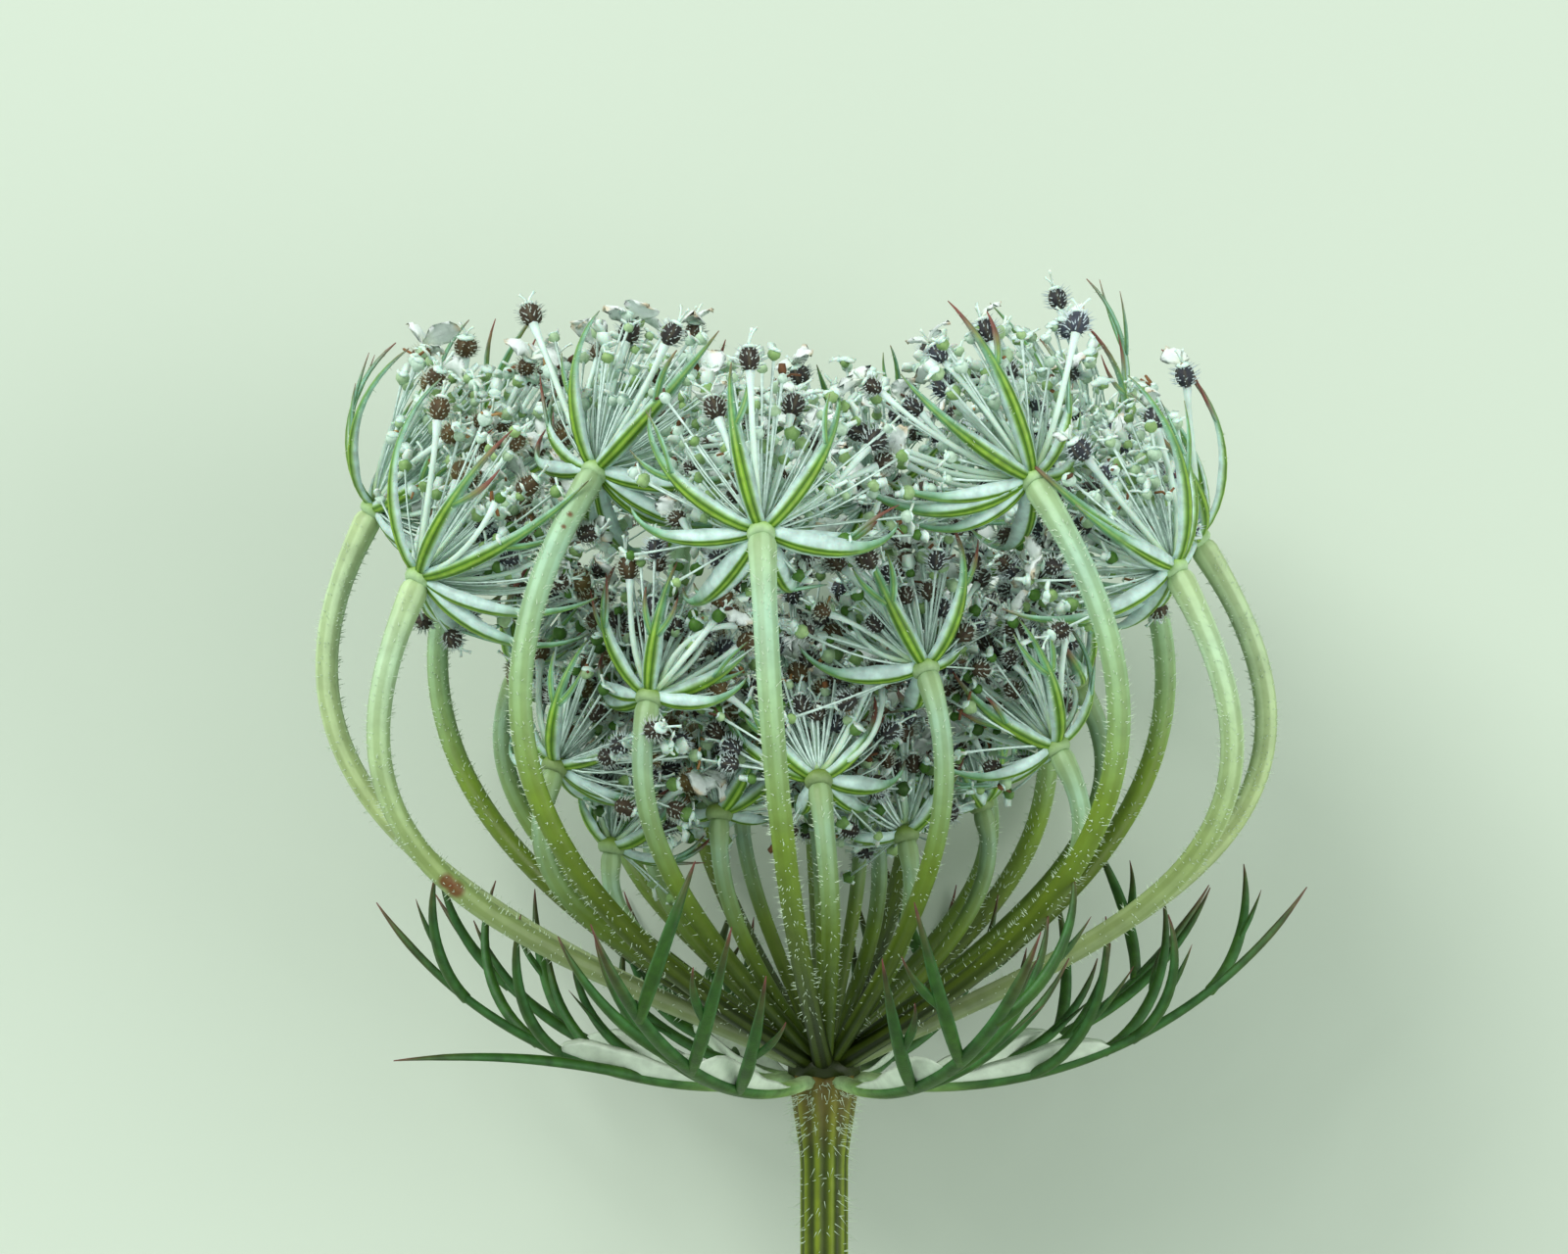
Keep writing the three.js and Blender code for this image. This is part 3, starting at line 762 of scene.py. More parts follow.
# Bruises on the side that faces the viewer: umbellet's number, share of the ray, reach in mm
BRUISES = [(2, 0.5, 0.5), (2, 0.52, 0.45), (3, 0.95, 0.16), (3, 0.965, 0.2)]
place = add(tree, "TexCoord", output="Object")
for number, share, reach in BRUISES:
    u = umbellets[number - 1]
    spot = bezier(u["controls"], [share]) - [[0, 0.9 * u["ring"]["radius"], 0]]
    ends = {0: place, 1: lay_down(spot)[0]}
    away = add(tree, "VectorMath", ends, output="Value", operation="DISTANCE")
    lined = washed(tree, lined, away, reach * 0.0012, reach * 0.0006, "#6e3212", 0.85)
mottled(tree, lined, 1.2, 0.88, 1.06)
grained(tree, 0.2, 0.015)
print("material:", ray_skin.name)

# %% Plant hair: clear silvery cell walls, stiff and dry
# Smooth dry cell walls give small bright lights, so the hairs stand out from the duller skin
plant_hair, tree = skin("silvery_plant_hair", 0.35, 1.5)
mottled(tree, linear("#cfe4c6"), 0.6, 0.9, 1.05)
print("material:", plant_hair.name)

# %% [markdown]
# ## Materials of leaves
# A bract is a tough dark green leaf whose lobes end in a red-brown point. A bracteole is a narrow
# green midrib with wide margins of clear, white, dead tissue that hold no green. It is green all
# over only in its upper half. An older one is brown further down from its tip.

# %% Bract leaf and the clear wings at its foot
# A tough leaf has a faint sheen over a dark green
bract_leaf, tree = skin("tough_green_leaf", 0.5, 1.38)
BRACT_STOPS = [
    (0, "#b4cf98"), (0.1, "#7a9c50"), (0.24, "#30560c"), (0.75, "#275013"), (0.92, "#41441c"),
    (1, "#6e2c34"),
]
green = faded(tree, ALONG, BRACT_STOPS)
from_middle = add(tree, "Math", {0: add(tree, "Attribute", **ACROSS)}, operation="ABSOLUTE")
# The paler blue-green towards the leaf's edges is a painted sheen
mottled(tree, washed(tree, green, from_middle, 0.6, 1, "#4f8e58", 0.3), 0.8, 0.75, 1.25)
grained(tree, 0.15, 0.02)

# A dead membrane full of air is pale and matt, like thin paper
clear_wing, tree = skin("cream_membrane", 0.55, 1.45)
mottled(tree, linear("#d3e2cc"), 0.7, 0.86, 1.04)
grained(tree, 0.3, 0.03)
print("materials:", bract_leaf.name, clear_wing.name)

# %% Bracteole leaf: green lines in white margins below, blue-green above, brown at the tip
# Thin tissue lets some light in, which softens the shading of the white margins
bracteole_leaf, tree = skin("white_edged_leaf", 0.5, 1.43, 0.15)
along, across, tone = (add(tree, "Attribute", **number) for number in (ALONG, ACROSS, TONE))
from_middle = add(tree, "Math", {0: across}, operation="ABSOLUTE")
# A tone over 0.5 marks a white leaf that droops, whose green strip is half as wide
span = {"From Min": 0.49, "From Max": 0.51, "To Min": 1, "To Max": 2.1}
narrower = add(tree, "MapRange", {"Value": tone, **span})
strip = add(tree, "Math", {0: from_middle, 1: narrower}, operation="MULTIPLY")
LOWER_STOPS = [
    (0, "#95ba48"), (0.16, "#78a428"), (0.32, "#3a6808"), (0.5, "#618c22"), (0.64, "#9fc48e"),
    (0.76, "#bfdfd2"), (1, "#cbe7df"),
]
UPPER_STOPS = [(0, "#86ab5c"), (0.4, "#5b9352"), (1, "#9fcdb6")]
lower = add(tree, "ValToRGB", {"Fac": strip}, LOWER_STOPS)
upper = add(tree, "ValToRGB", {"Fac": from_middle}, UPPER_STOPS)
higher = add(tree, "MapRange", {"Value": along, "From Min": 0.42, "From Max": 0.62})
both = add(tree, "MixRGB", {"Fac": higher, "Color1": lower, "Color2": upper})
# The tone within its half gives the leaf's age, which lowers the place where the brown starts
twice = add(tree, "Math", {0: tone, 1: 2}, operation="MULTIPLY")
age = add(tree, "Math", {0: twice}, operation="FRACT")
old = add(tree, "Math", {0: age, 1: 3}, operation="POWER")
reached = add(tree, "Math", {0: old, 1: 0.4, 2: along}, operation="MULTIPLY_ADD")
mottled(tree, washed(tree, both, reached, 0.9, 1.12, "#7d4c40"), 0.6, 0.78, 1.08)
grained(tree, 0.2, 0.02)
print("material:", bracteole_leaf.name)

# %% [markdown]
# ## Materials of the umbellets
# The thin stalks are nearly white and a little glassy, so some light travels inside them. The
# fruits are dry, brown or grey-purple, with pale ribs and rows of silver bristles, and carry a
# white cushion with two styles. Petals and stamens wither to white and brown scraps.

# %% Stalk skin and hub skin
# Clear wet tissue looks glassy, because light travels inside it as well
stalk_skin, tree = skin("glassy_white_stalk", 0.42, 1.4, 0.2)
STALK_STOPS = [(0, "#adcc90"), (0.3, "#cbe6d3"), (1, "#daf0e8")]
mottled(tree, faded(tree, ALONG, STALK_STOPS), 0.8, 0.92, 1.04)

# A firm green knob has one small, soft highlight
hub_skin, tree = skin("pale_green_hub", 0.5, 1.42)
# The olive at the ramp's far end is painted shade on the knob
HUB_STOPS = [(0, "#adcc9c"), (0.35, "#a2c584"), (0.6, "#8fb04c"), (1, "#86a544")]
green = faded(tree, ALONG, HUB_STOPS)
# Painted shade: hubs with a tone under 0.3, those of the inner rings, are made darker and duller
painted_nest_shade = washed(tree, green, add(tree, "Attribute", **TONE), 0.3, 0, "#586a1a", 0.7)
mottled(tree, painted_nest_shade, 0.5, 0.85, 1.08)
grained(tree, 0.2, 0.03)
print("materials:", stalk_skin.name, hub_skin.name)

# %% Fruit coat and young ovary
# A dry husk is dark and matt, so that the silver bristles show against it
fruit_coat, tree = skin("dry_ribbed_fruit", 0.7, 1.5)
FRUIT_STOPS = [
    (0, "#675822"), (0.3, "#4f3a18"), (0.55, "#291f15"), (0.75, "#25262a"), (1, "#414858"),
]
dark = faded(tree, TONE, FRUIT_STOPS)
with_ribs = washed(tree, dark, add(tree, "Attribute", **ACROSS), 0, 1, "#6b6348", 0.35)
mottled(tree, with_ribs, 0.4, 0.75, 1.15)
grained(tree, 0.15, 0.03)

# A moist young skin shines softly on colours from deep green to nearly white
young_ovary, tree = skin("young_green_ovary", 0.5, 1.42)
OVARY_STOPS = [(0, "#1f3d08"), (0.4, "#4b7a26"), (0.6, "#9abb78"), (0.8, "#c8e2cc"), (1, "#d6eee4")]
mottled(tree, faded(tree, TONE, OVARY_STOPS), 0.3, 0.8, 1.1)
print("materials:", fruit_coat.name, young_ovary.name)

# %% Bristle, style, petal and dried bit
# Stiff dry cell walls give each bristle a bright silver edge
bristle, tree = skin("silver_bristle", 0.4, 1.5)
BRISTLE_STOPS = [(0, "#b6b992"), (0.45, "#b9c6ba"), (1, "#cde0e6")]
mottled(tree, faded(tree, TONE, BRISTLE_STOPS), 0.4, 0.85, 1.08)

# Moist white flesh glows a little from inside, which keeps its shadows light
white_style, tree = skin("fleshy_white_style", 0.4, 1.4, 0.25)
mottled(tree, linear("#e0f5e9"), 0.8, 0.86, 1.02)

# A withered petal is a matt white, cream at its tip
petal_white, tree = skin("withered_white_petal", 0.6, 1.42)
PETAL_STOPS = [(0, "#dbe4cf"), (0.4, "#eaf4f0"), (0.85, "#eef6f2"), (1, "#d9cdb0")]
mottled(tree, faded(tree, ALONG, PETAL_STOPS), 0.5, 0.9, 1.03)
grained(tree, 0.3, 0.05)

# Dead tissue is papery, brown and dull
dried_bit, tree = skin("dried_brown_bit", 0.75, 1.5)
DRIED_STOPS = [(0, "#4b2f1c"), (0.5, "#85562c"), (1, "#b7955e")]
mottled(tree, faded(tree, TONE, DRIED_STOPS), 0.3, 0.8, 1.1)
print("materials:", bristle.name, white_style.name, petal_white.name, dried_bit.name)

# %% [markdown]
# ## Stem
# The stem is a ribbed tube that swells into a collar under the rays. Its outline is a circle with
# ten ridges, swept up the plant's axis, so that the ribs are real geometry and catch the light.
# Stiff white hairs stand off it, most of them at the collar.

# %% Make the stem
STEM_SIDES, STEM_RINGS = 80, 90
stem_outline, stem_ribs = ribbed(STEM_SIDES, 10, 0.064)


def stem_width(z):
    share = np.clip((z + NECK_LENGTH + NECK_DROP) / NECK_LENGTH, 0, 1)
    return STEM_RADIUS + (NECK_RADIUS - STEM_RADIUS) * share


heights = np.linspace(-STEM_LENGTH, -0.55, STEM_RINGS)
shares = np.linspace(0, 1, STEM_RINGS)
line, widths = heights[:, None] * UP, stem_width(heights)
stem_parts = Parts()
swept(stem_parts, 0, line, SIDEWAYS, stem_outline, widths, along=shares, across=stem_ribs)
print("stem:", shown("flower_stem", stem_parts, [stem_skin], "stem", "peduncle"), "triangles")

# %% Grow the stem's hairs
rng = np.random.default_rng(7)
STEM_HAIRS, COLLAR_HAIRS = 1500, 420
spots = np.concatenate([
    rng.uniform(-STEM_LENGTH + 0.5, -NECK_DROP, STEM_HAIRS),
    -NECK_DROP - 3.5 * rng.random(COLLAR_HAIRS) ** 1.5,
])
angles = rng.uniform(0, 2 * np.pi, len(spots))
outwards = np.column_stack([np.cos(angles), np.sin(angles), np.zeros(len(spots))])
roots = outwards * (stem_width(spots) * 0.93)[:, None] + spots[:, None] * UP
ways = outwards + rng.normal(0, 0.28, (len(spots), 3)) - 0.25 * UP
stem_hairs = Parts()
hairs(stem_hairs, roots, ways, rng.uniform(0.35, 0.95, len(spots)), 0.028, 0)
print("stem hairs:", shown("stem_hairs", stem_hairs, [plant_hair], "stem"), "triangles")

# %% [markdown]
# ## Rays
# Each ray is a tube swept along its curve, a little thicker towards the umbellet, and runs on
# across the CAD model's small gap until it meets the hub. A low cushion joins them on the stem.
# The outermost rays at the sides get most sun, and the inner rings least light: both are painted
# into the colour, as painted sunlight on those outer rays and painted shade on the inner rings.

# %% Make the rays
RAY_RINGS = 46
# Tones over 0.8 give these rays painted sunlight, a paler and yellower colour
SUNNED_RAYS = {1: 1, 7: 1, 2: 0.92, 6: 0.92}  # tones of the paler and yellower rays
OUTER_LIGHT, INNER_LIGHT = (0.3, 0.8), (0, 0.2)
RIM = np.array([0.3, 0.6, 0.85])  # mm past the tip, where the ray closes under the hub
RIM_WIDTHS = np.array([1.02, 0.92, 0.6])
ray_outline, ray_ribs = ribbed(15, 5, 0.03)
ray_parts = Parts()
for u in umbellets:
    shares = np.linspace(0, 1, RAY_RINGS)
    line = bezier(u["controls"], shares)
    line = np.vstack([line, line[-1] + unit(line[-1] - line[-2]) * RIM[:, None]])
    swelling = 0.94 + 0.14 * np.clip((shares - 0.93) / 0.07, 0, 1) ** 1.6
    swelling = swelling + 0.15 * np.clip(1 - shares / 0.06, 0, 1)
    widths = u["ring"]["radius"] * (RAY_ROOT + (1 - RAY_ROOT) * shares) * swelling
    widths = np.append(widths, widths[-1] * RIM_WIDTHS)
    limits = OUTER_LIGHT if u["ring"] is RINGS[0] else INNER_LIGHT
    u["line"], u["widths"], u["light"] = line, widths, between(limits, u["number"], 1, 20)
    numbers = {"along": np.append(shares, [1, 1, 1]), "across": ray_ribs}
    tone = SUNNED_RAYS.get(u["number"], u["light"])
    swept(ray_parts, 0, line, u["side"], ray_outline, widths, tone=tone, **numbers)
heights = np.array([-0.7, -0.55, 0.1, 0.5, 0.8, 0.9])
swept(ray_parts, 0, heights[:, None] * UP, SIDEWAYS, circle(24), [1.6, 1.9, 1.9, 1.5, 0.9, 0.2])
print("rays:", shown("flower_rays", ray_parts, [ray_skin], "ray", "rays"), "triangles")

# %% Grow the rays' hairs
HAIRS_PER_MM = (16, 8, 6, 6)  # in each ring of rays
ray_hairs = Parts()
for u in umbellets:
    line, widths = u["line"][:RAY_RINGS], u["widths"][:RAY_RINGS]
    steps = np.linalg.norm(np.diff(line, axis=0), axis=1)
    count = int(steps.sum() * HAIRS_PER_MM[RINGS.index(u["ring"])])
    places = rng.uniform(0.02, 1, count) ** 0.6 * (len(line) - 1.001)
    middle, i = on_line(line, places)
    heading = unit(line[i + 1] - line[i])
    normal = unit(np.cross(u["side"], heading))
    across = np.cross(heading, normal)
    angles = rng.uniform(0, 2 * np.pi, count)[:, None]
    outwards = across * np.cos(angles) + normal * np.sin(angles)
    roots = middle + outwards * widths[i][:, None] * 0.96
    ways = outwards + 0.35 * heading + rng.normal(0, 0.2, (count, 3))
    hairs(ray_hairs, roots, ways, rng.uniform(0.14, 0.38, count), 0.03, 0)
print("ray hairs:", shown("ray_hairs", ray_hairs, [plant_hair], "ray"), "triangles")

# %% [markdown]
# ## Bracts
# A bract's midrib and lobes are narrow blades: a thin lens swept along the same arcs as in CAD,
# with more steps, and some lobes get a small side tine. Two thin cream wings widen the midrib's
# foot. A closed lens has two sides and an edge, which a flat plane with a leaf shape would lack.

# %% One lobe of a bract
BLADE, SLIM = lens(7), lens(5)
LEAF_GREEN, WING_CREAM = range(2)  # places in a bract's list of materials
LOBE_STEPS, TINE_STEPS, TINE_START = 16, 9, 7
TINED_ABOVE, OTHER_SIDE_ABOVE = 0.3, 0.65  # the tones of lobes with a tine, and of its side


def blade(parts, skin_index, line, side, outline, widths, depths, along, tone, cup=0):
    numbers = {"along": along, "across": outline[:, 0], "tone": tone}
    swept(parts, skin_index, line, side, outline, widths, depths, cup, **numbers)


def add_lobe(parts, lobe, tone):
    root, upper, lead, first, last, reach = lobe["shape"]
    line = arc(root, upper, lead, first - 6, last - 12, 1.12 * reach, LOBE_STEPS)
    line, across = pressed(line, 0.2), unit(np.cross(lead, upper))
    t = np.linspace(0, 1, LOBE_STEPS + 1)
    widths = np.interp(t, [0, 0.33, 0.67, 0.93, 1], [0.7, 0.9, 0.7, 0.26, 0.05]) * LOBE_RADIUS
    depths = np.interp(t, [0, 0.4, 0.8, 1], [0.3, 0.28, 0.18, 0.03])
    blade(parts, LEAF_GREEN, line, across, BLADE, widths, depths, 0.22 + 0.78 * t, tone, -0.1)
    if tone > TINED_ABOVE:
        start, outer = line[TINE_START], across * (1 if tone > OTHER_SIDE_ABOVE else -1)
        forward = unit(line[TINE_START + 1] - start)
        tine = pressed(arc(start, forward, outer, 34, 4, reach * 0.42, TINE_STEPS), 0.2)
        t = np.linspace(0, 1, TINE_STEPS + 1)
        widths = np.interp(t, [0, 0.4, 1], [0.6, 0.62, 0.05]) * LOBE_RADIUS
        along = 0.6 + 0.4 * t
        blade(parts, LEAF_GREEN, tine, across, BLADE, widths, widths * 0.5, along, tone)


print("a lobe is up to", round(1.8 * LOBE_RADIUS, 2), "mm wide")

# %% Make the bracts
BRACT_STEPS = 36
WING = slice(2, 20)  # the midrib's points that carry the wings
for index, bract in enumerate(bracts):
    parts = Parts()
    out, side = bract["out"], bract["side"]
    line = arc(bract["start"], UP, out, *BRACT_TURN, bract["length"], BRACT_STEPS)
    line = pressed(line, 0.25)
    line = np.vstack([line[0] - out * 0.7, line])
    shares = np.append(0, np.linspace(0, 1, BRACT_STEPS + 1))
    widths = np.interp(shares, np.linspace(0, 1, 7), BRACT_WIDTHS) * BRACT_RADIUS
    widths = np.maximum(widths, 0.03)
    depths = np.interp(shares, [0, 0.3, 0.9, 1], [0.38, 0.3, 0.2, 0.03])
    tone = chance(index, 1, 11)
    blade(parts, LEAF_GREEN, line, side, BLADE, widths, depths, shares, tone, -0.12)
    t = np.linspace(0, 1, 18)
    wing = 2.6 * t**1.1 * (1 - t**7) + 0.06 * np.sin(23 * t + index)
    for hand in (1, -1):
        rising = unit(side * hand * 0.5 + UP * 0.87)
        middle = line[WING] + side * hand * widths[WING, None] * 0.6 + rising * wing[:, None] * 0.4
        half = np.abs(wing) * 0.5 + 0.02
        blade(parts, WING_CREAM, middle, rising, BLADE, half, 0.05, t, 0.5)
    for key, lobe in enumerate(bract["lobes"]):
        add_lobe(parts, lobe, chance(index, key, 12))
    name = f"bract_{index + 1}"
    count = shown(f"{name}_leaf", parts, [bract_leaf, clear_wing], "bract", name)
print("bracts:", len(bracts), "with", count, "triangles in the last")

# %% [markdown]
# ## Bracteoles
# On the umbellet's upper side a bracteole is a slender green claw that curves round the stalks,
# with a fringe of hairs. On its lower side it is wider, white and droops. Some fork. Both are one
# thin lens swept along an arc, cupped like a gutter, and differ in how the arc turns.

# %% The tines of a forked bracteole
HUB, LEAF, STALK, HAIR = range(4)  # places in the green pieces' list of materials
LEAF_STEPS = 14
FORK_PLACES, TINE_SHARES = (0.42, 0.62), (0.28, 0.42)  # of the leaf's length
TWO_TINES_ABOVE, RIGHT_TINE_ABOVE = 0.6, 0.38


def add_tines(parts, u, key, line, side, length, tone, forks):
    """Adds one tine or two; the draw `forks` says which."""
    fork = int(LEAF_STEPS * between(FORK_PLACES, u["number"], key, 24))
    heading = unit(line[fork + 1] - line[fork])
    t = np.linspace(0, 1, 7)
    widths = np.interp(t, [0, 0.5, 1], [0.2, 0.18, 0.03])
    for hand in (-1, 1) if forks > TWO_TINES_ABOVE else (np.sign(forks - RIGHT_TINE_ABOVE),):
        across = side * hand
        reach = length * between(TINE_SHARES, u["number"], key, 15 + hand)
        tine = pressed(arc(line[fork] + across * 0.15, heading, across, 36, 2, reach, 6), 0.12)
        blade(parts, LEAF, tine, side, SLIM, widths, widths * 0.5, 0.62 + 0.38 * t, tone)


print("a bracteole forks at", FORK_PLACES, "of its length")

# %% One bracteole
LEAF_PLACES = [0, 0.08, 0.25, 0.45, 0.58, 0.8, 1]
LEAF_WIDTHS = [0.4, 0.47, 0.57, 0.48, 0.32, 0.18, 0.03]
LEAF_HAIRS, LEAF_HAIR_RADIUS = 36, 0.024
CLAW_WIDTH, DROOPING_WIDTH = 0.9, 1.35
CLAW_FORKS_ABOVE, DROOPING_FORKS_ABOVE = 0.15, 0.75
SHORTEST_FORKED = 5  # mm


def add_bracteole(parts, u, leaf, key):
    start, axis, out, opening, closing, length = leaf["shape"]
    upwards = -out @ u["third"]
    claw = leaf["slimmer"] == 1 and upwards > 0.2 * chance(u["number"], key, 19) - 0.45
    if claw:
        line = arc(start, axis, out, opening, closing * 0.3 - 10, length * 1.12, LEAF_STEPS, 0.8)
    else:
        line = arc(start, axis, out, opening + 20, closing - 12, length, LEAF_STEPS)
    line = pressed(line, 0.12)
    side = np.cross(axis, out)
    t = np.linspace(0, 1, LEAF_STEPS + 1)
    widths = np.interp(t, LEAF_PLACES, LEAF_WIDTHS) * leaf["slimmer"]
    widths = widths * (CLAW_WIDTH if claw else DROOPING_WIDTH)
    depths = np.interp(t, [0, 0.5, 0.9, 1], [0.22, 0.14, 0.1, 0.03])
    cup = -np.interp(t, [0, 0.3, 0.7, 1], [0.2, 0.6, 0.3, 0])[:, None]
    tone = 0.49 * chance(u["number"], key, 13) + (0 if claw else 0.5)
    blade(parts, LEAF, line, side, SLIM, widths, depths, t, tone, cup)
    if claw:
        middle, i = on_line(line, rng.uniform(0.3, 0.97, LEAF_HAIRS) * LEAF_STEPS)
        edge = side * rng.choice([-1, 1], LEAF_HAIRS)[:, None]
        ways = unit(edge + rng.normal(0, 0.4, (LEAF_HAIRS, 3)))
        roots = middle + ways * 0.6 * widths[i][:, None]
        lengths = rng.uniform(0.14, 0.28, LEAF_HAIRS)
        hairs(parts, roots, ways, lengths, LEAF_HAIR_RADIUS, HAIR)
    forks = chance(u["number"], key, 14)
    forks_above = CLAW_FORKS_ABOVE if claw else DROOPING_FORKS_ABOVE
    if forks >= forks_above and length >= SHORTEST_FORKED:
        add_tines(parts, u, key, line, side, length, tone, forks)


print("a bracteole is", 2 * max(LEAF_WIDTHS), "mm wide")

# %% [markdown]
# ## Fruits
# A fruit is a small ribbed barrel in rows of bristles, under a white cushion with two styles. A
# bristle's direction is drawn at random round its row, because even rows look machined. The CAD
# fruit's width takes in the bristles, so the barrel is a little slimmer.

# %% The bristles of one fruit
COAT, OVARY, BRISTLE, STYLE, DRIED = range(5)  # places in the fruits' list of materials
FRUIT_HEIGHTS = np.array([0, 0.08, 0.24, 0.46, 0.68, 0.84, 0.93])
FRUIT_WIDTHS = np.array([0.25, 0.58, 0.88, 1, 0.9, 0.64, 0.4])
BRISTLE_ROWS, BRISTLES_PER_ROW = 10, 6
BRISTLE_RADIUS = 0.046


def add_bristles(parts, top, heading, one, radius, length, size, tone):
    places = np.linspace(0.1, 0.8, BRISTLES_PER_ROW)
    turns, places = (grid.ravel() for grid in np.meshgrid(np.arange(BRISTLE_ROWS), places))
    angles = 2 * np.pi * (turns + 0.22 * rng.normal(size=turns.size)) / BRISTLE_ROWS
    places = places + 0.06 * (turns % 2) + rng.normal(0, 0.03, turns.size)
    normal = unit(np.cross(one, heading))
    outwards = one * np.cos(angles)[:, None] + normal * np.sin(angles)[:, None]
    reach = np.interp(places, FRUIT_HEIGHTS, FRUIT_WIDTHS)[:, None] * radius
    roots = top + heading * (places * length)[:, None] + outwards * reach * 0.93
    ways = outwards + heading * (0.1 + 0.5 * places[:, None]) + rng.normal(0, 0.12, roots.shape)
    lengths = rng.uniform(0.26, 0.42, len(roots)) * size**0.5 * (0.8 + 0.4 * tone)
    hairs(parts, roots, ways, lengths, BRISTLE_RADIUS, BRISTLE, tone)


print("a fruit has", BRISTLE_ROWS * BRISTLES_PER_ROW, "bristles")

# %% One fruit with its cushion and styles
BODY_WIDTH, BODY_LENGTH = 0.88, 0.72  # of the CAD fruit's
CAP_HEIGHTS = np.array([0.86, 0.94, 1.0, 1.03])
CAP_WIDTHS = np.array([0.66, 0.74, 0.5, 0.1])
STYLE_WIDTHS = [0.12, 0.09, 0.07, 0.07, 0.11]
fruit_outline, fruit_ribs = ribbed(12, 6, 0.05)
ROUND_3, ROUND_5, ROUND_6, ROUND_8 = (circle(sides) for sides in (3, 5, 6, 8))


def spread_round(direction):
    """Two directions at right angles to one, and to each other."""
    one = unit(np.cross(direction, UP if abs(direction[2]) < 0.9 else SIDEWAYS))
    return one, np.cross(direction, one)


def add_fruit(parts, top, heading, size, ripe, tone):
    one, two = spread_round(heading)
    radius, length = BODY_WIDTH * FRUIT_RADIUS * size, BODY_LENGTH * FRUIT_LENGTH * size
    line, widths = top + FRUIT_HEIGHTS[:, None] * length * heading, FRUIT_WIDTHS * radius
    coat, numbers = COAT if ripe else OVARY, {"across": fruit_ribs, "tone": tone}
    swept(parts, coat, line, one, fruit_outline, widths, widths * 0.9, **numbers)
    line, widths = top + CAP_HEIGHTS[:, None] * length * heading, CAP_WIDTHS * radius
    swept(parts, STYLE, line, one, ROUND_8, widths * 1.1, widths * 0.8, tone=tone)
    if ripe:
        add_bristles(parts, top, heading, one, radius, length, size, tone)
    tip = top + heading * length * 0.98
    for hand in (-1, 1):
        sideways = unit(one * hand + two * rng.normal(0, 0.4))
        reach = rng.uniform(0.7, 1.2) * (0.6 + 0.4 * size)
        line = arc(tip, heading, sideways, 15, 55, reach, 4)
        swept(parts, STYLE, line, two, ROUND_3, STYLE_WIDTHS, tone=tone)


print("a fruit's barrel is", round(2 * BODY_WIDTH * FRUIT_RADIUS, 2), "mm thick")

# %% [markdown]
# ## Florets
# Between the fruits stand many florets that set none: a thread with a small ovary, a pale cushion
# and two withered petals. They fill the nest with soft detail, so each has only a few faces. One
# is left out where it would hang below or outside its umbellet. Deep in the nest, where shade
# falls, some are small dark fruits instead, which stand partly for that shade, and the ovaries
# there are a darker green, which is painted shade.

# %% Where a floret may stand
FURTHEST_OUT, LOWEST = 1.2, -3  # mm, from the hub


def floret_thread(u, key):
    """The thread's line and its heading at the end, or None where it has no room."""
    number, ring, axis = u["number"], u["ring"], u["axis"]
    out = leaning(u["side"], u["third"], 360 * chance(number, key, 21))
    opening = (75 + 32 * out @ u["third"]) * np.sqrt(chance(number, key, 22))
    length = ring["stalk"] * between((0.35, 1.0), number, key, 23)
    start = u["hub"] + leaning(axis, out, opening) * HUB_RADIUS * STALK_SEAT
    last = opening * between((0.1, 1.1), number, key, 24)
    line = arc(start, axis, out, opening, last, length, 5)
    bow = 0.4 * np.linspace(0, 1, 6)[:, None] * np.cross(axis, out)
    line = line + bow * (chance(number, key, 20) - 0.5)
    heading = unit(line[-1] - line[-2])
    line = pressed(line, 0.3)
    end = line[-1]
    further_out = np.linalg.norm(end[:2]) - np.linalg.norm(u["hub"][:2])
    outside = further_out > FURTHEST_OUT or end[2] < u["hub"][2] + LOWEST
    if outside or not is_clear(number, np.array([end, end + heading]), [0.2, 0.25], 0):
        return None
    return line, heading


print("a floret may end", FURTHEST_OUT, "mm further out than its hub")

# %% One floret that set no fruit
THREAD_WIDTHS = [0.09, 0.065, 0.06, 0.06, 0.065, 0.09]
OVARY_WIDTHS = np.array([0.1, 0.3, 0.33, 0.26])
PALE_WIDTHS = np.array([0.3, 0.36, 0.27, 0.06])
PETALS, FLAP = 2, lens(3)
# Below this height a floret counts as shaded: its ovary is a darker green, which is painted shade,
# and some become small dark fruits, partly real fruits and partly painted shade
SHADED_BELOW = 28  # mm
FRUIT_BELOW, WITHERED_ABOVE = 0.4, 0.9  # tones of small dark fruits and of brown petals


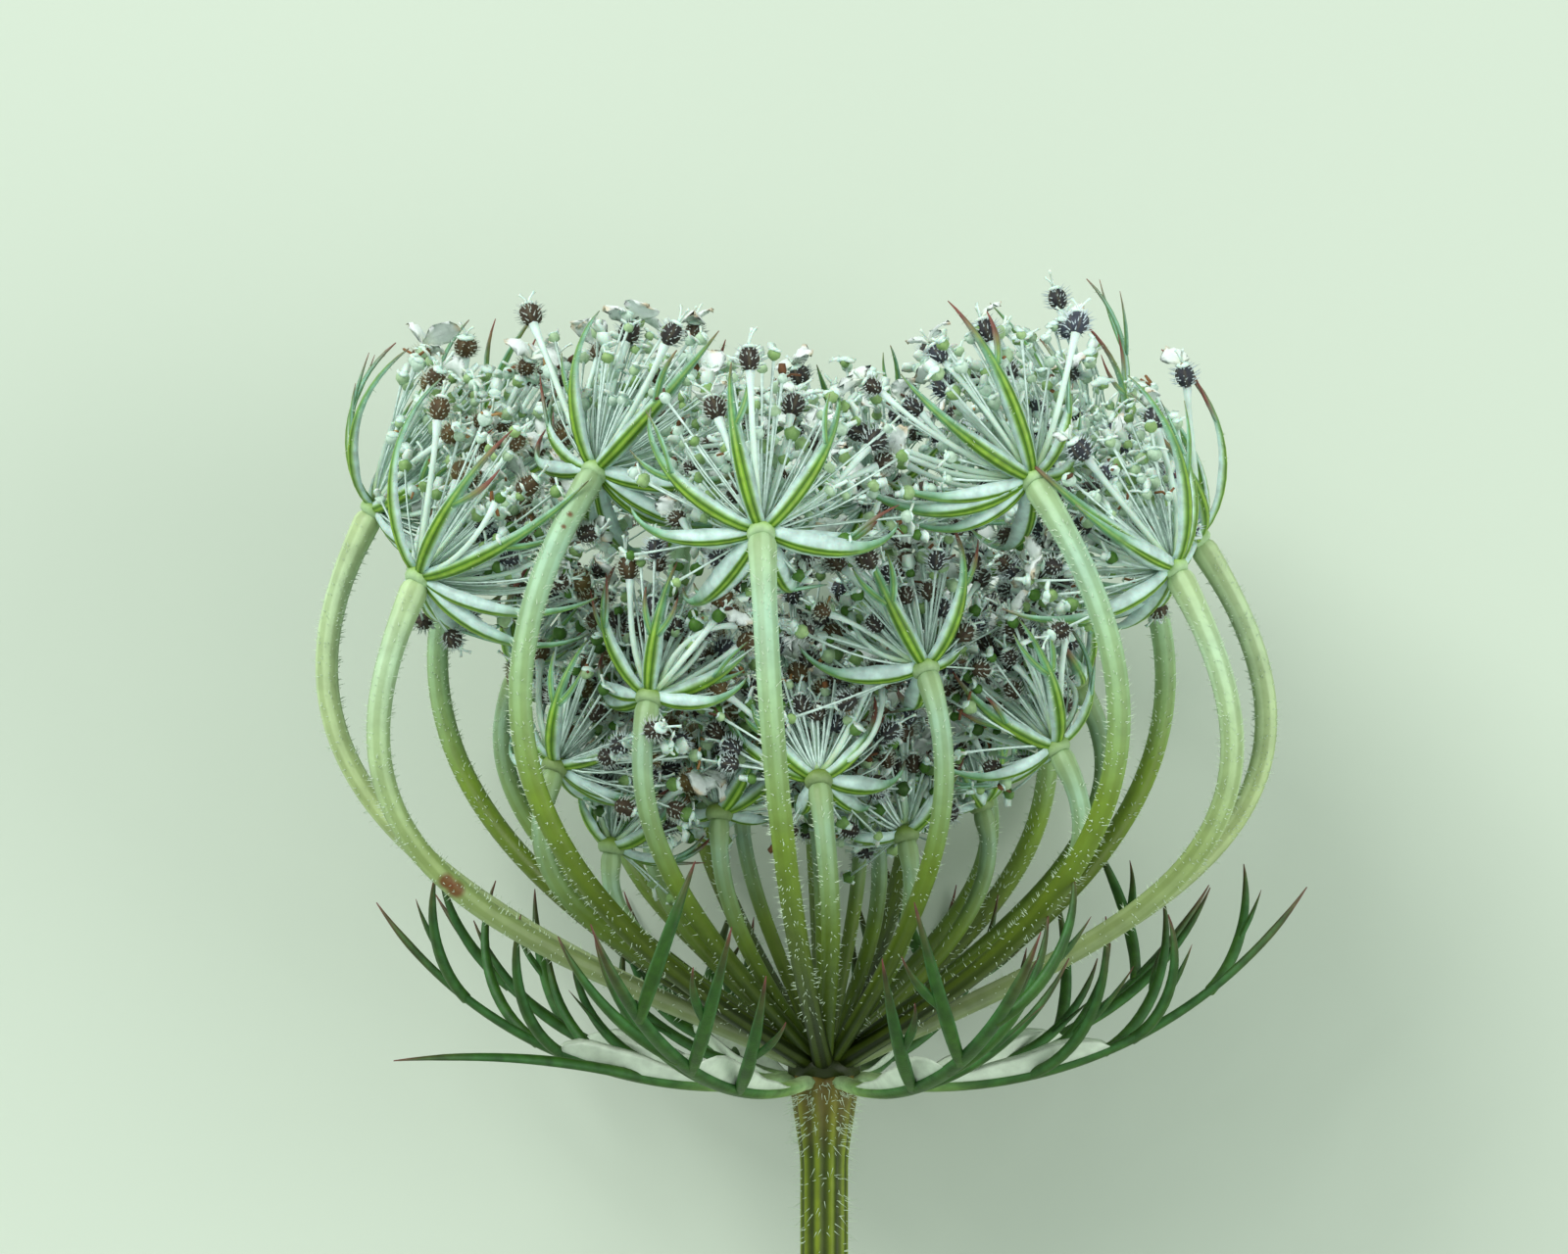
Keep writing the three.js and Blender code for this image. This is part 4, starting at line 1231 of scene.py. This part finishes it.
def add_floret(parts, u, key):
    """Adds it where there is room, and says whether there was."""
    thread = floret_thread(u, key)
    if thread is None:
        return False
    line, heading = thread
    number, start, end = u["number"], line[0], line[-1]
    size = between((0.8, 1.3), number, key, 25)
    tone = chance(number, key, 26)
    sideways, _ = spread_round(unit(end - start))
    swept(parts, OVARY, line, sideways, ROUND_3, THREAD_WIDTHS, tone=1)
    shaded = end[2] < SHADED_BELOW
    body = end + heading * [[0.2], [0.9]]
    if shaded and tone < FRUIT_BELOW and is_clear(number, body, [0.5, 0.5], 0):
        add_fruit(parts, end, heading, 0.6 + 0.3 * size / 1.3, True, 0.45 + tone)
        return True
    one, two = spread_round(heading)
    rise = np.linspace(0, 0.5, 4)[:, None] * size * heading
    green_tone = 0.7 * tone if shaded else 0.5 + 0.4 * tone
    swept(parts, OVARY, end + rise, one, ROUND_5, OVARY_WIDTHS * size, tone=green_tone)
    top, widths = end + rise[3] * 0.85 + rise * 0.4, PALE_WIDTHS * size
    swept(parts, STYLE, top, one, ROUND_6, widths, widths * 0.7, tone=tone)
    withered = tone > WITHERED_ABOVE
    for petal in range(PETALS):
        way = leaning(one, two, 360 * (petal + chance(number, key, 30 + petal)) / PETALS)
        reach = between((0.4, 1.0), number, key, 40 + petal)
        wide = between((0.1, 0.44), number, key, 50 + petal) * (0.55 if withered else 1)
        last = between((20, 150), number, key, 60 + petal)
        flap, side = arc(end + rise[2], heading, way, 40, last, reach, 2), np.cross(heading, way)
        kind, widths = DRIED if withered else STYLE, [0.1, wide, wide * 0.75]
        swept(parts, kind, flap, side, FLAP, widths, 0.07, tone=chance(number, key, 70))
    return True


print("a floret has", PETALS, "petals")

# %% [markdown]
# ## Stalks
# Each stalk is a thin tube that follows its CAD stalk from the hub to the fruit on one smooth
# curve, with a small bow of its own, and widens under its fruit. The fruits are browner at the
# lower left of the nest and bluer at the upper right: partly as their age differs there, and
# partly as painted light, where the light on the nest differs.

# %% One stalk with its fruit
OPEN_SIDE = 0.45  # how far a thin stalk may face out of the nest
BOWS = {True: 0.8, False: 3}  # of a CAD stalk and of a thin one
THICKNESS = {True: 0.85, False: 0.7}
RIPE, UNRIPE_SIZE = 0.82, 0.7
petal_spots = []


# A fruit's tone runs bluer towards the upper right of the nest: partly its age, partly painted light
def add_stalk(green, fruits, u, one, key):
    number, cad = u["number"], one["size"] == 1
    start, top, end = one["points"][0], one["points"][-3], one["points"][-1]
    heading = unit(end - top)
    if not cad and (one["first"] @ -u["third"]) > OPEN_SIDE:
        return
    reach = np.linalg.norm(top - start) / 3
    controls = np.array([start, start + one["first"] * reach, top - heading * reach, top])
    t = np.linspace(0, 1, 10)
    side, other = spread_round(unit(top - start))
    bow = side * (chance(number, key, 27) - 0.5) + other * (chance(number, key, 28) - 0.5)
    controls[1:3] += bow * BOWS[cad]
    thick = STALK_RADIUS * THICKNESS[cad]
    widths = thick * np.interp(t, [0, 0.1, 0.85, 1], [1.3, 1, 0.9, 1.5])
    swept(green, STALK, bezier(controls, t), side, ROUND_6, widths, along=t)
    ripe = cad or chance(number, key, 16) < RIPE
    size = one["size"] if ripe else one["size"] * UNRIPE_SIZE
    bluer = 0.022 * (top[0] + 8) + 0.025 * (top[2] - 15)
    tone = 0.75 * np.clip(bluer, 0, 1) + 0.25 * chance(number, key, 17)
    add_fruit(fruits, top, heading, size, ripe, tone)
    if chance(number, key, 18) < (0.6 if top[2] > 33 else 0.32):
        petal_spots.append((top + heading * FRUIT_LENGTH * size * BODY_LENGTH, heading))


print("ripe:", RIPE, "of the thin stalks")

# %% [markdown]
# ## Umbellets
# An umbellet is the hub, a small pale knob that closes the end of the ray, with its bracteoles,
# stalks, fruits and florets. The green parts make one object, which stands for the CAD node, and
# the fruits and florets another.

# %% Make every umbellet
HUB_HEIGHTS = np.array([-0.5, -0.35, -0.2, 0, 0.2, 0.36, 0.44])
HUB_WIDTHS = np.array([0.6, 0.72, 0.76, 0.75, 0.64, 0.4, 0.1])
HUB_SHARES = np.linspace(0, 1, 7)
MORE_FLORETS = (110, 85, 60, 48)  # tries in each ring of umbellets
green_skins = [hub_skin, bracteole_leaf, stalk_skin, plant_hair]
fruit_skins = [fruit_coat, young_ovary, bristle, white_style, dried_bit]
totals = np.zeros(3, int)
for u in umbellets:
    green, fruits = Parts(), Parts()
    lying = unit(u["axis"] + unit(u["line"][-1] - u["line"][-2]))
    line = u["hub"] + HUB_HEIGHTS[:, None] * HUB_RADIUS * lying
    numbers = {"along": HUB_SHARES, "tone": u["light"]}
    swept(green, HUB, line, u["side"], circle(16), HUB_WIDTHS * HUB_RADIUS, **numbers)
    for key, leaf in enumerate(u["leaves"]):
        add_bracteole(green, u, leaf, key)
    for key, one in enumerate(u["stalks"]):
        add_stalk(green, fruits, u, one, key)
    florets = MORE_FLORETS[RINGS.index(u["ring"])]
    totals[2] += sum(add_floret(fruits, u, key) for key in range(florets))
    name = f"umbellet_{u['number']:02d}"
    totals[0] += shown(f"{name}_green", green, green_skins, "umbellet", name)
    totals[1] += shown(f"{name}_fruits", fruits, fruit_skins, "fruit")
print("triangles of green parts and of fruits, and florets:", totals)

# %% [markdown]
# ## Petals and dried bits
# Some fruits still carry withered petals, thin crumpled flaps of 1 to 2 mm, and small brown
# remains of stamens lie between the stalks. A petal is a strip that bends and narrows, and each
# of its points is moved a little at random, which crumples it without a cloth simulation.

# %% Make the petals and the dried bits
PETAL_WIDTHS = np.array([0.12, 0.35, 0.55, 0.62, 0.55, 0.4, 0.2])
PETAL_OUTLINE = lens(6)
BIT_WIDTHS, BIT_DEPTH, BIT_SHARE = [0.05, 0.12, 0.15, 0.05], 0.08, 0.4
petals = Parts()
for tip, heading in petal_spots:
    one, two = spread_round(heading)
    for _ in range(rng.integers(1, 4)):
        angle = rng.uniform(0, 2 * np.pi)
        out = one * np.cos(angle) + two * np.sin(angle)
        first, last, reach = rng.uniform(10, 50), rng.uniform(70, 150), rng.uniform(0.9, 2.2)
        line = arc(tip, heading, out, first, last, reach, 6)
        side, widths = np.cross(heading, out), PETAL_WIDTHS * rng.uniform(0.8, 1.5)
        points, faces = sweep(line, side, PETAL_OUTLINE, widths, 0.04, rng.uniform(-0.8, 0.8))
        points += rng.normal(0, 0.06, points.shape)
        along = np.repeat(np.linspace(0, 1, 7), len(PETAL_OUTLINE))
        petals.add(points, faces, 0, along, 0, rng.random())
    if rng.random() < BIT_SHARE:
        middle = tip + rng.normal(0, 0.25, 3)
        line = middle + np.linspace(-0.22, 0.22, 4)[:, None] * unit(rng.normal(size=3))
        side = spread_round(unit(line[1] - line[0]))[0]
        points, faces = sweep(line, side, ROUND_5, BIT_WIDTHS, BIT_DEPTH)
        points += rng.normal(0, 0.04, points.shape)
        petals.add(points, faces, 1, 0, 0, rng.random())
print("petals and bits:", shown("petals", petals, [petal_white, dried_bit], "petal"), "triangles")

# %% [markdown]
# ## Sizes
# The finished model keeps to the CAD model's box. Both boxes are written down to compare.

# %% Write the sizes and finish
boxes = {"cad": cad_box, "visual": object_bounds()}
for name, box in boxes.items():
    print(name, [[round(1000 * x, 1) for x in corner] for corner in box])
